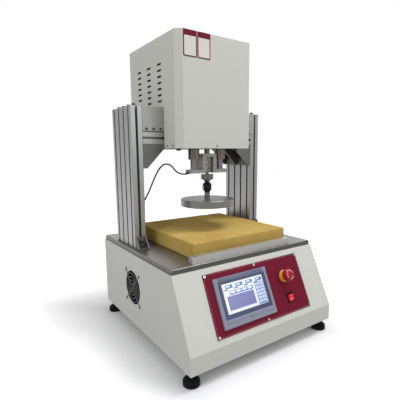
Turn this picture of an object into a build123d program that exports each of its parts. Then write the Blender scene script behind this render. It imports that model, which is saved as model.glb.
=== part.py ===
from build123d import *
import math
import os

# Foam indentation hardness tester. Millimetres, X to the right, Y to the back, Z up.
# The origin is on the floor, under the middle of the cabinet.

# Cabinet
CABINET_WIDTH = 580.0
CABINET_DEPTH = 630.0
CABINET_HEIGHT = 251.0
APRON_HEIGHT = 53.0
SLOPE_SETBACK = 93.0
SHEET = 2.0
FLANGE = 45.0
REAR_RECESS = 4.0
COVER_PLAY = 0.5

# Levelling feet
FOOT_HEIGHT = 42.0
FOOT_RADIUS = 24.5
FOOT_PAD_HEIGHT = 24.0
FOOT_RIM_HEIGHT = 14.0
FOOT_NECK_RADIUS = 12.0
FOOT_INSET_X = 20.0
FOOT_INSET_Y = 29.0
STEM_RADIUS = 6.0
STEM_ABOVE_FLOOR = 14.0
LOCK_NUT_RADIUS = 10.4
LOCK_NUT_HEIGHT = 8.0

# Top plate with its vent holes
PLATE_THICKNESS = 15.0
PLATE_MARGIN = 4.0
PLATE_REAR_MARGIN = 3.0
PLATE_CHAMFER = 1.2
VENT_RADIUS = 3.0
VENT_PITCH = 20.0
VENT_COLUMNS = 22
VENT_ROWS = 19
VENT_CENTRE_Y = 10.0
VENT_EDGE_COLUMNS = 2
VENT_STRIDE = 3
PLATE_SCREW_INSET = 6.0
PLATE_SCREW_HEAD = 3.2
PLATE_SCREW_HEAD_DEPTH = 3.0
PLATE_SCREW_SHANK = 2.0
PLATE_FRONT_SCREW_X = 94.0
PLATE_SIDE_SCREW_Y = -37.0

# Fence bar that the specimen is pushed against
BAR_LENGTH = 402.0
BAR_INSET = 74.0
BAR_SECTION = 20.0
BAR_SETBACK = 11.0
BAR_SCREW_START = 15.0
BAR_SCREW_PITCH = 178.0
BAR_SCREW_COUNT = 3
BAR_SCREW_HEAD = 3.5
BAR_SCREW_SHANK = 2.0

# Specimen
FOAM_SIDE = 394.0
FOAM_THICKNESS = 50.0
FOAM_BAR_GAP = 17.0
FOAM_BAR_OFFSET = 26.0

# Slotted profile, four modules wide
MODULE = 40.0
PROFILE_MODULES = 4
SLOT_OPENING = 8.2
SLOT_LIP = 4.5
SLOT_DEPTH = 12.3
SLOT_CAVITY = 20.0
SLOT_FLOOR = 9.0
CORE_RADIUS = 3.4
CHAMBER_WIDTH = 14.0
CHAMBER_HEIGHT = 28.0
PROFILE_CORNER = 1.5

# Frame
COLUMN_LENGTH = 470.0
COLUMN_GAP = 471.0
COLUMN_FRONT = 49.0
BEAM_DROP = 82.0
TIE_PLATE_THICKNESS = 8.0
TIE_PLATE_LIFT = 3.0
TIE_BAR_SECTION = 20.0
TIE_BAR_LENGTH = 165.0
TIE_SCREW_START = 14.5
TIE_SCREW_PITCH = 26.0
TIE_SCREW_COUNT = 3
GUSSET_GAP = 1.0
GUSSET_TIP = 14.0
GUSSET_WALL = 7.0
GUSSET_SCREW_INSET = 30.0
FOOT_BRACKET_WIDTH = 38.0
FOOT_BRACKET_HEIGHT = 40.0
FOOT_BRACKET_DEPTH = 26.0
FOOT_BRACKET_WALL = 4.0

# Fasteners
HOLE_PLAY = 0.1
M8_SHANK = 4.0
M8_HEAD_RADIUS = 6.5
M8_HEAD_HEIGHT = 8.0
M10_SHANK = 5.0
M10_HEAD_RADIUS = 8.0
M10_HEAD_HEIGHT = 10.0
M5_SHANK = 2.5
M5_HEAD_RADIUS = 4.2
M5_HEAD_HEIGHT = 2.4
M3_SHANK = 1.6
M3_HEAD_RADIUS = 3.0
M3_HEAD_HEIGHT = 1.6
CORE_SCREW_SHANK = 3.3
CORE_SCREW_LENGTH = 25.0
SLOT_SCREW_REACH = 9.5
SLOT_NUT_WIDTH = 16.0
SLOT_NUT_HEIGHT = 4.0
COUNTERBORE_PLAY = 0.5

# Head
HEAD_PLATE_THICKNESS = 12.0
HOUSING_WIDTH = 314.0
HOUSING_HEIGHT = 365.0
HOUSING_LIP = 3.0
HOUSING_FRONT = -47.5
HOUSING_REAR = 311.0
HOUSING_SHEET = 2.0
HOUSING_CHAMFER = 20.0
HOUSING_REAR_FLANGE = 18.0
NOTCH_PLAY = 1.5
LOUVRE_LENGTH = 30.0
LOUVRE_HEIGHT = 7.0
LOUVRE_PITCH = 20.0
LOUVRE_ROWS = 7
LOUVRE_COLUMN_PITCH = 78.5
LOUVRE_COLUMNS = 3
LOUVRE_FIRST_Y = 73.0
LOUVRE_DROP = 86.0
HOUSING_SCREW_YS = (-13.0, 25.0)
HOUSING_FRONT_SCREW_X = -4.0
HOUSING_SCREW_LENGTH = 8.0
RIB_INSET = 34.0
RIB_THICKNESS = 14.0
RIB_FRONT = 18.0
RIB_TOE = 12.0
RIB_CROWN = 9.0
RIB_SCREW_Y = 10.0

# Guides and loading train
SPINDLE_Y = 20.0
GUIDE_X = 56.5
GUIDE_ROD_RADIUS = 12.5
GUIDE_SPIGOT_RADIUS = 8.0
GUIDE_SPIGOT_LENGTH = 4.0
RUNNING_PLAY = 0.05
BUSHING_RADIUS = 20.0
BUSHING_DROP = 41.0
BUSHING_FLANGE_RADIUS = 26.0
BUSHING_FLANGE_HEIGHT = 6.0
PORTAL_GAP = 20.0
PORTAL_HEIGHT = 69.0
PORTAL_WIDTH = 60.0
PORTAL_OPENING = 30.0
PORTAL_ROOF = 12.0
CROSSHEAD_WIDTH = 160.0
CROSSHEAD_DEPTH = 36.0
CROSSHEAD_THICKNESS = 13.0
CELL_WIDTH = 24.0
CELL_DEPTH = 20.0
CELL_HEIGHT = 54.0
CELL_GAP = 2.0
CELL_CUT = 3.0
CELL_WEB = 5.0
STUD_RADIUS = 6.0
STUD_DEPTH = 9.0
ADAPTER_RADIUS = 22.5
ADAPTER_GAP = 5.0
ADAPTER_HEIGHT = 19.0
CONE_RADIUS = 7.5
CONE_HEIGHT = 12.0
COUPLING_RADIUS = 16.0
COUPLING_HEIGHT = 31.0
COUPLING_CHAMFER = 5.0
COUPLING_NECK_RADIUS = 10.5
COUPLING_NECK_HEIGHT = 4.0
COUPLING_BORE = 6.5
THUMB_SCREW_RADIUS = 4.5
THUMB_SCREW_HEAD = 3.5
THUMB_SCREW_SHANK = 2.5
THUMB_SCREW_AT = 13.0
ROD_RADIUS = 10.0
ROD_LENGTH = 23.0
ROD_SPIGOT_LENGTH = 22.0
DISC_RADIUS = 97.0
DISC_THICKNESS = 25.0
DISC_EDGE = 1.5

# Drive inside the head
TUBE_RADIUS = 10.0
TUBE_BORE = 7.0
TUBE_END = 12.0
TUBE_HOLE_RADIUS = 13.0
CARRIAGE_THICKNESS = 12.0
CARRIAGE_SEAT = 8.0
NUT_FLANGE_RADIUS = 20.0
NUT_FLANGE_HEIGHT = 10.0
NUT_RADIUS = 13.0
NUT_HEIGHT = 38.0
SCREW_RADIUS = 6.0
SCREW_LENGTH = 165.0
JOURNAL_RADIUS = 5.0
NUT_TO_BLOCK = 5.0
BLOCK_WIDTH = 60.0
BLOCK_HEIGHT = 30.0
BLOCK_FRONT = -8.0
BACK_PLATE_WIDTH = 120.0
BACK_PLATE_THICKNESS = 10.0
BACK_PLATE_SCREW_X = 40.0
BACK_PLATE_SCREW_DROP = 30.0
MOTOR_PLATE_WIDTH = 110.0
MOTOR_PLATE_THICKNESS = 10.0
MOTOR_PLATE_REAR = 170.0
MOTOR_Y = 120.0
MOTOR_SIZE = 80.0
MOTOR_HEIGHT = 110.0
ENCODER_SIZE = 56.0
ENCODER_HEIGHT = 30.0
MOTOR_SHAFT_RADIUS = 7.0
MOTOR_SHAFT_SEAT = 60.0
PULLEY_RADIUS = 20.0
PULLEY_FLANGE_RADIUS = 23.0
PULLEY_FLANGE = 1.5
PULLEY_LIFT = 3.0
PULLEY_HEADROOM = 42.0
BELT_WIDTH = 12.0
BELT_THICKNESS = 2.0
BELT_SIDE_PLAY = 0.5
SHAFT_TIP = 2.0
SHAFT_PLAY = 0.5

# Control panel on the slanted face, measured down from its top edge
PANEL_WIDTH = 390.0
PANEL_HEIGHT = 183.0
PANEL_DOWN = 17.0
PANEL_THICKNESS = 2.0
PANEL_SCREW_INSET = 5.5
PANEL_SCREW_LENGTH = 7.0
SCREEN_X = -63.5
SCREEN_DOWN = 108.75
SCREEN_WIDTH = 207.0
SCREEN_HEIGHT = 145.5
SCREEN_PROUD = 6.0
SCREEN_BEZEL_CHAMFER = 1.5
SCREEN_BODY_WIDTH = 190.0
SCREEN_BODY_HEIGHT = 134.0
SCREEN_BODY_DEPTH = 32.0
GLASS_WIDTH = 184.0
GLASS_HEIGHT = 118.0
GLASS_THICKNESS = 2.0
GLASS_SUNK = 0.8
GLASS_PLAY = 0.2
ESTOP_X = 113.0
ESTOP_DOWN = 82.0
ESTOP_HOLE_RADIUS = 11.2
ESTOP_COLLAR_RADIUS = 20.0
ESTOP_COLLAR_HEIGHT = 8.0
ESTOP_COLLAR_TOP_RADIUS = 16.0
ESTOP_STEM_RADIUS = 6.0
ESTOP_KNOB_RADIUS = 20.0
ESTOP_KNOB_RIM = 9.0
ESTOP_KNOB_DOME = 7.0
ESTOP_NECK_RADIUS = 12.5
ESTOP_NECK_HEIGHT = 4.0
ESTOP_TRAVEL_GAP = 6.0
ESTOP_BLOCK_SIZE = 30.0
ESTOP_BLOCK_DEPTH = 40.0
ESTOP_STEM_DEPTH = 24.0
SWITCH_X = 117.0
SWITCH_DOWN = 152.5
SWITCH_WIDTH = 32.0
SWITCH_HEIGHT = 31.0
SWITCH_BEZEL = 2.5
SWITCH_OPENING_WIDTH = 21.0
SWITCH_OPENING_HEIGHT = 24.4
SWITCH_WALL = 2.0
SWITCH_DEPTH = 22.0
ROCKER_WIDTH = 20.0
ROCKER_LENGTH = 21.0
ROCKER_TILT = 10.0
ROCKER_PIVOT_DEPTH = 2.0
ROCKER_PIN_RADIUS = 1.5
ROCKER_PIN_REACH = 1.2
CUTOUT_PLAY = 0.5

# Cooling fan in the left side wall
FAN_Y = 51.0
FAN_ABOVE_UNDERSIDE = 132.5
FAN_SIZE = 120.0
FAN_DEPTH = 38.0
FAN_HOLE_PITCH = 105.0
FAN_BORE_RADIUS = 58.0
FAN_CORNER = 6.0
FAN_HUB_RADIUS = 21.0
FAN_HUB_DEPTH = 26.0
FAN_BLADES = 7
FAN_BLADE_TIP = 56.0
FAN_BLADE_THICKNESS = 1.8
FAN_BLADE_CHORD = 25.0
FAN_BLADE_ROOT_PITCH = 50.0
FAN_BLADE_TIP_PITCH = 28.0
FAN_SHAFT_RADIUS = 3.0
FAN_STATOR_DEPTH = 5.0
FAN_STRUT_WIDTH = 5.0
GUARD_RINGS = (14.0, 26.0, 38.0, 50.0)
GUARD_WIRE = 2.0
GUARD_EYE_RADIUS = 5.0
GUARD_SIDES = 36

# Inside the base and at the back
SUPPLY_SIZE = (115.0, 215.0, 50.0)
SUPPLY_X = 150.0
SUPPLY_SETBACK = 195.0
DRIVE_SIZE = (60.0, 150.0, 160.0)
DRIVE_X = -120.0
DRIVE_SETBACK = 165.0
DRIVE_FINS = 7
DRIVE_FIN_DEPTH = 18.0
CONTROLLER_SIZE = (160.0, 110.0, 40.0)
CONTROLLER_AT = (0.0, -60.0)
INLET_INSET = 90.0
INLET_ABOVE_UNDERSIDE = 60.0
INLET_FLANGE = (50.0, 28.0)
INLET_FLANGE_THICKNESS = 1.6
INLET_BODY = (27.0, 20.0, 24.0)
INLET_RECESS = (23.0, 16.0, 16.0)
COVER_SCREW_INSET = 14.0

# Load cell cable, route chosen by hand from the crosshead to the left column
CABLE_RADIUS = 2.5
CABLE_GROOVE = 7.5
CABLE_ROUTE = (
    (-12.0, 20.0, 559.0),
    (-38.0, 20.0, 559.0),
    (-66.0, 21.8, 557.6),
    (-94.0, 25.6, 551.5),
    (-121.0, 30.2, 559.0),
    (-140.0, 34.4, 586.5),
    (-165.0, 39.8, 591.0),
    (-184.0, 45.2, 570.0),
    (-197.0, 50.5, 542.0),
    (-208.0, 56.5, 513.0),
    (-218.5, 64.0, 484.0),
    (-232.0, 69.0, 461.0),
)
CLIP_LENGTH = 20.0
CLIP_WIDTH = 14.0
CLIP_PROUD = 6.0
CLIP_TONGUE = 5.0

# Levels and edges that follow from the sizes above
UNDERSIDE = FOOT_HEIGHT
CABINET_TOP = UNDERSIDE + CABINET_HEIGHT
KNEE = UNDERSIDE + APRON_HEIGHT
SIDE = CABINET_WIDTH / 2
FRONT = -CABINET_DEPTH / 2
REAR = CABINET_DEPTH / 2
SLOPE_TOP = FRONT + SLOPE_SETBACK
FLOOR_TOP = UNDERSIDE + 2 * SHEET
PLATE_TOP = CABINET_TOP + PLATE_THICKNESS
PLATE_FRONT = SLOPE_TOP + PLATE_MARGIN
PLATE_REAR = REAR - PLATE_REAR_MARGIN
PLATE_SIDE = SIDE - PLATE_MARGIN
BAR_FRONT = PLATE_FRONT + BAR_SETBACK
BAR_LEFT = BAR_INSET - PLATE_SIDE
PROFILE_WIDTH = MODULE * PROFILE_MODULES
COLUMN_TOP = PLATE_TOP + COLUMN_LENGTH
COLUMN_INNER = COLUMN_GAP / 2
COLUMN_X = COLUMN_INNER + MODULE / 2
COLUMN_REAR = COLUMN_FRONT + PROFILE_WIDTH
COLUMN_Y = COLUMN_FRONT + PROFILE_WIDTH / 2
BEAM_TOP = COLUMN_TOP - BEAM_DROP
BEAM_BOTTOM = BEAM_TOP - MODULE
SLOT_YS = tuple(COLUMN_FRONT + MODULE * (i + 0.5) for i in range(PROFILE_MODULES))
HEAD_PLATE_BOTTOM = BEAM_BOTTOM - HEAD_PLATE_THICKNESS
HOUSING_BOTTOM = HEAD_PLATE_BOTTOM - HOUSING_LIP
HOUSING_TOP = HOUSING_BOTTOM + HOUSING_HEIGHT
HOUSING_SIDE = HOUSING_WIDTH / 2
HEAD_PLATE_SIDE = HOUSING_SIDE - HOUSING_SHEET - COVER_PLAY
GUSSET_LEG = COLUMN_INNER - HEAD_PLATE_SIDE - GUSSET_GAP
GUSSET_SCREW_AT = GUSSET_LEG - GUSSET_SCREW_INSET
RIB_X = HOUSING_SIDE - RIB_INSET
HEAD_PLATE_FRONT = HOUSING_FRONT + HOUSING_SHEET
TIE_PLATE_REAR = COLUMN_FRONT + TIE_PLATE_THICKNESS
PORTAL_TOP = HEAD_PLATE_BOTTOM - PORTAL_GAP
CROSSHEAD_BOTTOM = PORTAL_TOP - PORTAL_HEIGHT
CROSSHEAD_TOP = CROSSHEAD_BOTTOM + CROSSHEAD_THICKNESS
CELL_TOP = PORTAL_TOP - PORTAL_ROOF - CELL_GAP
CELL_BOTTOM = CELL_TOP - CELL_HEIGHT
ADAPTER_TOP = CROSSHEAD_BOTTOM - ADAPTER_GAP
ADAPTER_BOTTOM = ADAPTER_TOP - ADAPTER_HEIGHT
COUPLING_TOP = ADAPTER_BOTTOM - CONE_HEIGHT
COUPLING_WAIST = COUPLING_TOP - COUPLING_HEIGHT
COUPLING_BOTTOM = COUPLING_WAIST - COUPLING_NECK_HEIGHT
DISC_TOP = COUPLING_BOTTOM - ROD_LENGTH
PULLEY_HEIGHT = BELT_WIDTH + 2 * BELT_SIDE_PLAY + 2 * PULLEY_FLANGE
PULLEY_TOP = HOUSING_TOP - PULLEY_HEADROOM
PULLEY_BOTTOM = PULLEY_TOP - PULLEY_HEIGHT
MOTOR_PLATE_TOP = PULLEY_BOTTOM - PULLEY_LIFT
MOTOR_PLATE_BOTTOM = MOTOR_PLATE_TOP - MOTOR_PLATE_THICKNESS
BLOCK_BOTTOM = MOTOR_PLATE_BOTTOM - BLOCK_HEIGHT
CARRIAGE_TOP = BLOCK_BOTTOM - NUT_TO_BLOCK - NUT_HEIGHT
CARRIAGE_BOTTOM = CARRIAGE_TOP - CARRIAGE_THICKNESS
FAN_Z = UNDERSIDE + FAN_ABOVE_UNDERSIDE
SUPPLY_AT = (SUPPLY_X, REAR - SUPPLY_SETBACK)
DRIVE_AT = (DRIVE_X, REAR - DRIVE_SETBACK)
INLET_X = SIDE - INLET_INSET
INLET_Z = UNDERSIDE + INLET_ABOVE_UNDERSIDE
COVER_FACE = REAR - REAR_RECESS + SHEET
PANEL = Plane(
    origin=(0, SLOPE_TOP, CABINET_TOP),
    x_dir=(1, 0, 0),
    z_dir=(0, KNEE - CABINET_TOP, SLOPE_SETBACK),
)
FROM_BELOW = (Align.CENTER, Align.CENTER, Align.MIN)


def block(x_range, y_range, z_range):
    """Box between two values along each axis."""
    size = [high - low for low, high in (x_range, y_range, z_range)]
    middle = [(high + low) / 2 for low, high in (x_range, y_range, z_range)]
    return Pos(*middle) * Box(*size)


def rod(start, direction, radius, length):
    """Round bar from a point along a direction."""
    return Plane(origin=start, z_dir=direction) * Cylinder(radius, length, align=FROM_BELOW)


def upright(x, y, low, high, radius):
    """Round bar along Z between two levels."""
    return Pos(x, y, low) * Cylinder(radius, high - low, align=FROM_BELOW)


def prism_x(outline, x_range):
    """Extrusion along X of an outline given as (y, z) points."""
    face = make_face(Plane.YZ * Polyline(*outline, close=True))
    low, high = x_range
    return Pos(low, 0, 0) * extrude(face, high - low, dir=(1, 0, 0))


def prism_y(outline, y_range):
    """Extrusion along Y of an outline given as (x, z) points."""
    face = make_face(Plane.XZ * Polyline(*outline, close=True))
    low, high = y_range
    return Pos(0, low, 0) * extrude(face, high - low, dir=(0, 1, 0))


def prism_z(outline, z_range):
    """Extrusion along Z of an outline given as (x, y) points."""
    face = make_face(Polyline(*outline, close=True))
    low, high = z_range
    return Pos(0, 0, low) * extrude(face, high - low, dir=(0, 0, 1))


def turned(outline, x=0.0, y=0.0):
    """Solid of revolution about an upright axis, from an outline of (radius, z) points."""
    return Pos(x, y, 0) * revolve(make_face(Plane.XZ * Polyline(*outline, close=True)), Axis.Z)


def both_sides(shape):
    """The shape and its mirror image across the middle plane."""
    return [shape, mirror(shape, Plane.YZ)]


def screw(seat, inward, shank, length, head_radius, head_height):
    """Screw whose head sits on a face at seat and whose shank runs inward."""
    outward = tuple(-part for part in inward)
    return rod(seat, outward, head_radius, head_height) + rod(seat, inward, shank, length)


def slot_screw(seat, inward, wall):
    """M8 screw through a wall into a profile slot, with its slot nut."""
    reach = wall + SLOT_SCREW_REACH
    nut_start = tuple(s + d * (wall + SLOT_LIP) for s, d in zip(seat, inward))
    nut = Plane(origin=nut_start, z_dir=inward) * Box(
        SLOT_NUT_WIDTH, SLOT_NUT_WIDTH, SLOT_NUT_HEIGHT, align=FROM_BELOW
    )
    return screw(seat, inward, M8_SHANK, reach, M8_HEAD_RADIUS, M8_HEAD_HEIGHT) + nut


def on_panel(x, down, out=0.0):
    """Place on the slanted face, down from its top edge and out from its surface."""
    return PANEL.location * Pos(x, -down, out)


def plate_screw_places():
    """Screws round the rim of the top plate."""
    x = PLATE_SIDE - PLATE_SCREW_INSET
    front = PLATE_FRONT + PLATE_SCREW_INSET
    rear = PLATE_REAR - PLATE_SCREW_INSET
    places = [(s * x, y) for s in (-1, 1) for y in (front, PLATE_SIDE_SCREW_Y, rear)]
    return places + [(s * PLATE_FRONT_SCREW_X, front) for s in (-1, 1)]


def foot_places():
    """Centres of the four feet."""
    x = SIDE - FOOT_INSET_X
    y = REAR - FOOT_INSET_Y
    return [(-x, -y), (x, -y), (-x, y), (x, y)]


def column_core_places():
    """Centres of the profile's cores in both columns."""
    return [(s * COLUMN_X, y) for s in (-1, 1) for y in SLOT_YS]


def bar_screw_places():
    """Screws along the fence bar, from its left end."""
    start = BAR_LEFT + BAR_SCREW_START
    y = BAR_FRONT + BAR_SECTION / 2
    return [(start + i * BAR_SCREW_PITCH, y) for i in range(BAR_SCREW_COUNT)]


def fan_screw_places():
    """Corner holes of the fan, as (y, z) points."""
    half = FAN_HOLE_PITCH / 2
    return [(FAN_Y + a * half, FAN_Z + b * half) for a in (-1, 1) for b in (-1, 1)]


def panel_screw_places():
    """Screws of the control panel, as (x, down) points."""
    x = PANEL_WIDTH / 2 - PANEL_SCREW_INSET
    top = PANEL_DOWN + PANEL_SCREW_INSET
    bottom = PANEL_DOWN + PANEL_HEIGHT - PANEL_SCREW_INSET
    return [(s * x, down) for s in (-1, 0, 1) for down in (top, bottom)]


def cover_screw_places(half_width, low, high):
    """Screws near the corners and side middles of a rear cover, as (x, z) points."""
    x = half_width - COVER_SCREW_INSET
    levels = (low + COVER_SCREW_INSET, (low + high) / 2, high - COVER_SCREW_INSET)
    return [(s * x, z) for s in (-1, 1) for z in levels]


def panel_cutters():
    """Solids that open the slanted face for the screen, the stop and the switch."""
    depth = 4 * (PANEL_THICKNESS + SHEET)
    screen = on_panel(SCREEN_X, SCREEN_DOWN) * Box(
        SCREEN_BODY_WIDTH + CUTOUT_PLAY, SCREEN_BODY_HEIGHT + CUTOUT_PLAY, depth
    )
    stop = on_panel(ESTOP_X, ESTOP_DOWN) * Cylinder(ESTOP_HOLE_RADIUS, depth)
    switch = on_panel(SWITCH_X, SWITCH_DOWN) * Box(
        SWITCH_OPENING_WIDTH + 2 * SWITCH_WALL + CUTOUT_PLAY,
        SWITCH_OPENING_HEIGHT + 2 * SWITCH_WALL + CUTOUT_PLAY,
        depth,
    )
    screws = [
        on_panel(x, down) * Cylinder(M5_SHANK + HOLE_PLAY, depth) for x, down in panel_screw_places()
    ]
    return [screen, stop, switch, *screws]


def base_cabinet():
    """Folded sheet shell with flanged openings at the top, bottom and rear."""
    outline = [
        (FRONT, UNDERSIDE),
        (FRONT, KNEE),
        (SLOPE_TOP, CABINET_TOP),
        (REAR, CABINET_TOP),
        (REAR, UNDERSIDE),
    ]
    face = make_face(Plane.YZ * Polyline(*outline, close=True))
    shell = extrude(face, SIDE, both=True)
    wall = REAR - REAR_RECESS
    inner = SIDE - SHEET
    cavity = extrude(offset(face, -SHEET), inner, both=True)
    cavity &= block((-SIDE, SIDE), (FRONT, wall - SHEET), (UNDERSIDE, CABINET_TOP))
    shell -= cavity
    shell -= block((-inner, inner), (wall, REAR + 1), (UNDERSIDE + SHEET, CABINET_TOP - SHEET))
    span = SIDE - FLANGE
    shell -= block(
        (-span, span), (SLOPE_TOP + FLANGE, wall - FLANGE), (CABINET_TOP - 2 * SHEET, CABINET_TOP + 1)
    )
    shell -= block(
        (-span, span), (FRONT + FLANGE, wall - FLANGE), (UNDERSIDE - 1, UNDERSIDE + 2 * SHEET)
    )
    shell -= block(
        (-span, span), (wall - 2 * SHEET, REAR), (UNDERSIDE + FLANGE, CABINET_TOP - FLANGE)
    )
    holes = [
        upright(x, y, UNDERSIDE - 1, FLOOR_TOP, STEM_RADIUS + HOLE_PLAY) for x, y in foot_places()
    ]
    holes += [
        upright(x, y, CABINET_TOP - 2 * SHEET, CABINET_TOP + 1, PLATE_SCREW_SHANK + HOLE_PLAY)
        for x, y in plate_screw_places()
    ]
    holes += [
        rod((-SIDE - 1, y, z), (1, 0, 0), M5_SHANK + HOLE_PLAY, 2 * SHEET)
        for y, z in fan_screw_places()
    ]
    holes += [
        rod((x, wall - 2 * SHEET, z), (0, 1, 0), M3_SHANK + HOLE_PLAY, 2 * SHEET)
        for x, z in cover_screw_places(SIDE - SHEET, UNDERSIDE + SHEET, CABINET_TOP - SHEET)
    ]
    holes.append(rod((-SIDE - 1, FAN_Y, FAN_Z), (1, 0, 0), FAN_BORE_RADIUS, 2 * SHEET))
    return shell - holes - panel_cutters()


def base_floor():
    """Sheet that lies on the cabinet's bottom flange and carries the electrics."""
    x = SIDE - SHEET - COVER_PLAY
    front = FRONT + SHEET + COVER_PLAY
    rear = REAR - REAR_RECESS - SHEET - COVER_PLAY
    sheet = block((-x, x), (front, rear), (UNDERSIDE + SHEET, FLOOR_TOP))
    return sheet - [
        upright(x, y, UNDERSIDE, FLOOR_TOP + 1, STEM_RADIUS + HOLE_PLAY) for x, y in foot_places()
    ]


def rear_cover():
    """Sheet in the recess at the back, with the cut-out for the power inlet."""
    x = SIDE - SHEET - COVER_PLAY
    low = UNDERSIDE + SHEET + COVER_PLAY
    high = CABINET_TOP - SHEET - COVER_PLAY
    wall = REAR - REAR_RECESS
    sheet = block((-x, x), (wall, COVER_FACE), (low, high))
    width, height = INLET_BODY[0] + CUTOUT_PLAY, INLET_BODY[1] + CUTOUT_PLAY
    sheet -= Pos(INLET_X, wall, INLET_Z) * Box(width, 4 * SHEET, height)
    return sheet - [
        rod((x, wall - 1, z), (0, 1, 0), M3_SHANK + HOLE_PLAY, 2 * SHEET)
        for x, z in cover_screw_places(SIDE - SHEET, UNDERSIDE + SHEET, CABINET_TOP - SHEET)
    ]


def rear_cover_screws():
    """Screws that hold the rear cover to the cabinet's flange."""
    return [
        screw((x, COVER_FACE, z), (0, -1, 0), M3_SHANK, 2 * SHEET, M3_HEAD_RADIUS, M3_HEAD_HEIGHT)
        for x, z in cover_screw_places(SIDE - SHEET, UNDERSIDE + SHEET, CABINET_TOP - SHEET)
    ]


def power_inlet():
    """Appliance inlet in the rear cover, with the recess for the plug."""
    width, height = INLET_FLANGE
    flange = Pos(INLET_X, COVER_FACE + INLET_FLANGE_THICKNESS / 2, INLET_Z) * Box(
        width, INLET_FLANGE_THICKNESS, height
    )
    face = COVER_FACE + INLET_FLANGE_THICKNESS
    body_width, body_height, body_depth = INLET_BODY
    body = Pos(INLET_X, COVER_FACE - body_depth / 2, INLET_Z) * Box(
        body_width, body_depth, body_height
    )
    recess_width, recess_height, recess_depth = INLET_RECESS
    recess = Pos(INLET_X, face - recess_depth / 2, INLET_Z) * Box(
        recess_width, recess_depth, recess_height
    )
    return flange + body - recess


def levelling_feet():
    """Moulded pads that the machine stands on."""
    outline = [
        (0, 0),
        (FOOT_RADIUS - FOOT_NECK_RADIUS / 6, 0),
        (FOOT_RADIUS, FOOT_NECK_RADIUS / 6),
        (FOOT_RADIUS, FOOT_RIM_HEIGHT),
        ((FOOT_RADIUS + FOOT_NECK_RADIUS) / 2, FOOT_PAD_HEIGHT - FOOT_NECK_RADIUS / 4),
        (FOOT_NECK_RADIUS, FOOT_PAD_HEIGHT),
        (0, FOOT_PAD_HEIGHT),
    ]
    return [turned(outline, x, y) for x, y in foot_places()]


def foot_stems():
    """Threaded stems that screw up through the cabinet's bottom flange."""
    top = FLOOR_TOP + STEM_ABOVE_FLOOR
    return [upright(x, y, FOOT_PAD_HEIGHT, top, STEM_RADIUS) for x, y in foot_places()]


def foot_nuts():
    """Nuts below the flange and above the floor plate that lock each stem."""
    nut = extrude(RegularPolygon(LOCK_NUT_RADIUS, 6) - Circle(STEM_RADIUS + HOLE_PLAY), LOCK_NUT_HEIGHT)
    return [
        Pos(x, y, low) * nut
        for x, y in foot_places()
        for low in (UNDERSIDE - LOCK_NUT_HEIGHT, FLOOR_TOP)
    ]


def vent_places():
    """Vent holes: every row beside the specimen, every third one under it."""
    left = -VENT_PITCH * (VENT_COLUMNS - 1) / 2
    first = VENT_CENTRE_Y - VENT_PITCH * (VENT_ROWS - 1) / 2
    places = []
    for i in range(VENT_COLUMNS):
        at_edge = min(i, VENT_COLUMNS - 1 - i) < VENT_EDGE_COLUMNS
        for j in range(VENT_ROWS):
            if at_edge or (i % VENT_STRIDE == 0 and j % VENT_STRIDE == 0):
                places.append(Pos(left + i * VENT_PITCH, first + j * VENT_PITCH))
    return places


def top_plate():
    """Thick plate that closes the cabinet, carries the columns and vents the specimen."""
    middle = (PLATE_FRONT + PLATE_REAR) / 2
    depth = PLATE_REAR - PLATE_FRONT
    outline = Pos(0, middle) * Rectangle(2 * PLATE_SIDE, depth)
    outline -= [place * Circle(VENT_RADIUS) for place in vent_places()]
    outline -= [
        Pos(x, y) * Circle(PLATE_SCREW_SHANK + HOLE_PLAY) for x, y in plate_screw_places()
    ]
    outline -= [Pos(x, y) * Circle(M8_SHANK + HOLE_PLAY) for x, y in column_core_places()]
    outline -= [Pos(x, y) * Circle(BAR_SCREW_SHANK + HOLE_PLAY) for x, y in bar_screw_places()]
    plate = Pos(0, 0, CABINET_TOP) * extrude(outline, PLATE_THICKNESS)
    head_seat = PLATE_TOP - PLATE_SCREW_HEAD_DEPTH
    plate -= [
        upright(x, y, head_seat, PLATE_TOP + 1, PLATE_SCREW_HEAD + HOLE_PLAY)
        for x, y in plate_screw_places()
    ]
    plate -= [
        upright(x, y, CABINET_TOP - 1, CABINET_TOP + M8_HEAD_HEIGHT, M8_HEAD_RADIUS + COUNTERBORE_PLAY)
        for x, y in column_core_places()
    ]
    plate -= [
        upright(s * COLUMN_X, foot_bracket_screw_y(), PLATE_TOP - SLOT_SCREW_REACH, PLATE_TOP + 1,
                M5_SHANK + HOLE_PLAY)
        for s in (-1, 1)
    ]
    rim = plate.faces().sort_by(Axis.Z)[-1].outer_wire().edges()
    return chamfer(rim, PLATE_CHAMFER)


def plate_screws():
    """Flush screws that hold the top plate down to the cabinet's flange."""
    seat = PLATE_TOP - PLATE_SCREW_HEAD_DEPTH
    length = seat - CABINET_TOP + SHEET
    return [
        screw((x, y, seat), (0, 0, -1), PLATE_SCREW_SHANK, length, PLATE_SCREW_HEAD,
              PLATE_SCREW_HEAD_DEPTH)
        for x, y in plate_screw_places()
    ]


def fence_bar():
    """Square bar along the front edge of the top plate."""
    bar = block(
        (BAR_LEFT, BAR_LEFT + BAR_LENGTH),
        (BAR_FRONT, BAR_FRONT + BAR_SECTION),
        (PLATE_TOP, PLATE_TOP + BAR_SECTION),
    )
    top = PLATE_TOP + BAR_SECTION
    bar -= [
        upright(x, y, PLATE_TOP - 1, top, BAR_SCREW_SHANK + HOLE_PLAY) for x, y in bar_screw_places()
    ]
    return bar - [
        upright(x, y, top - BAR_SCREW_SHANK, top + 1, BAR_SCREW_HEAD + HOLE_PLAY)
        for x, y in bar_screw_places()
    ]


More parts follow.
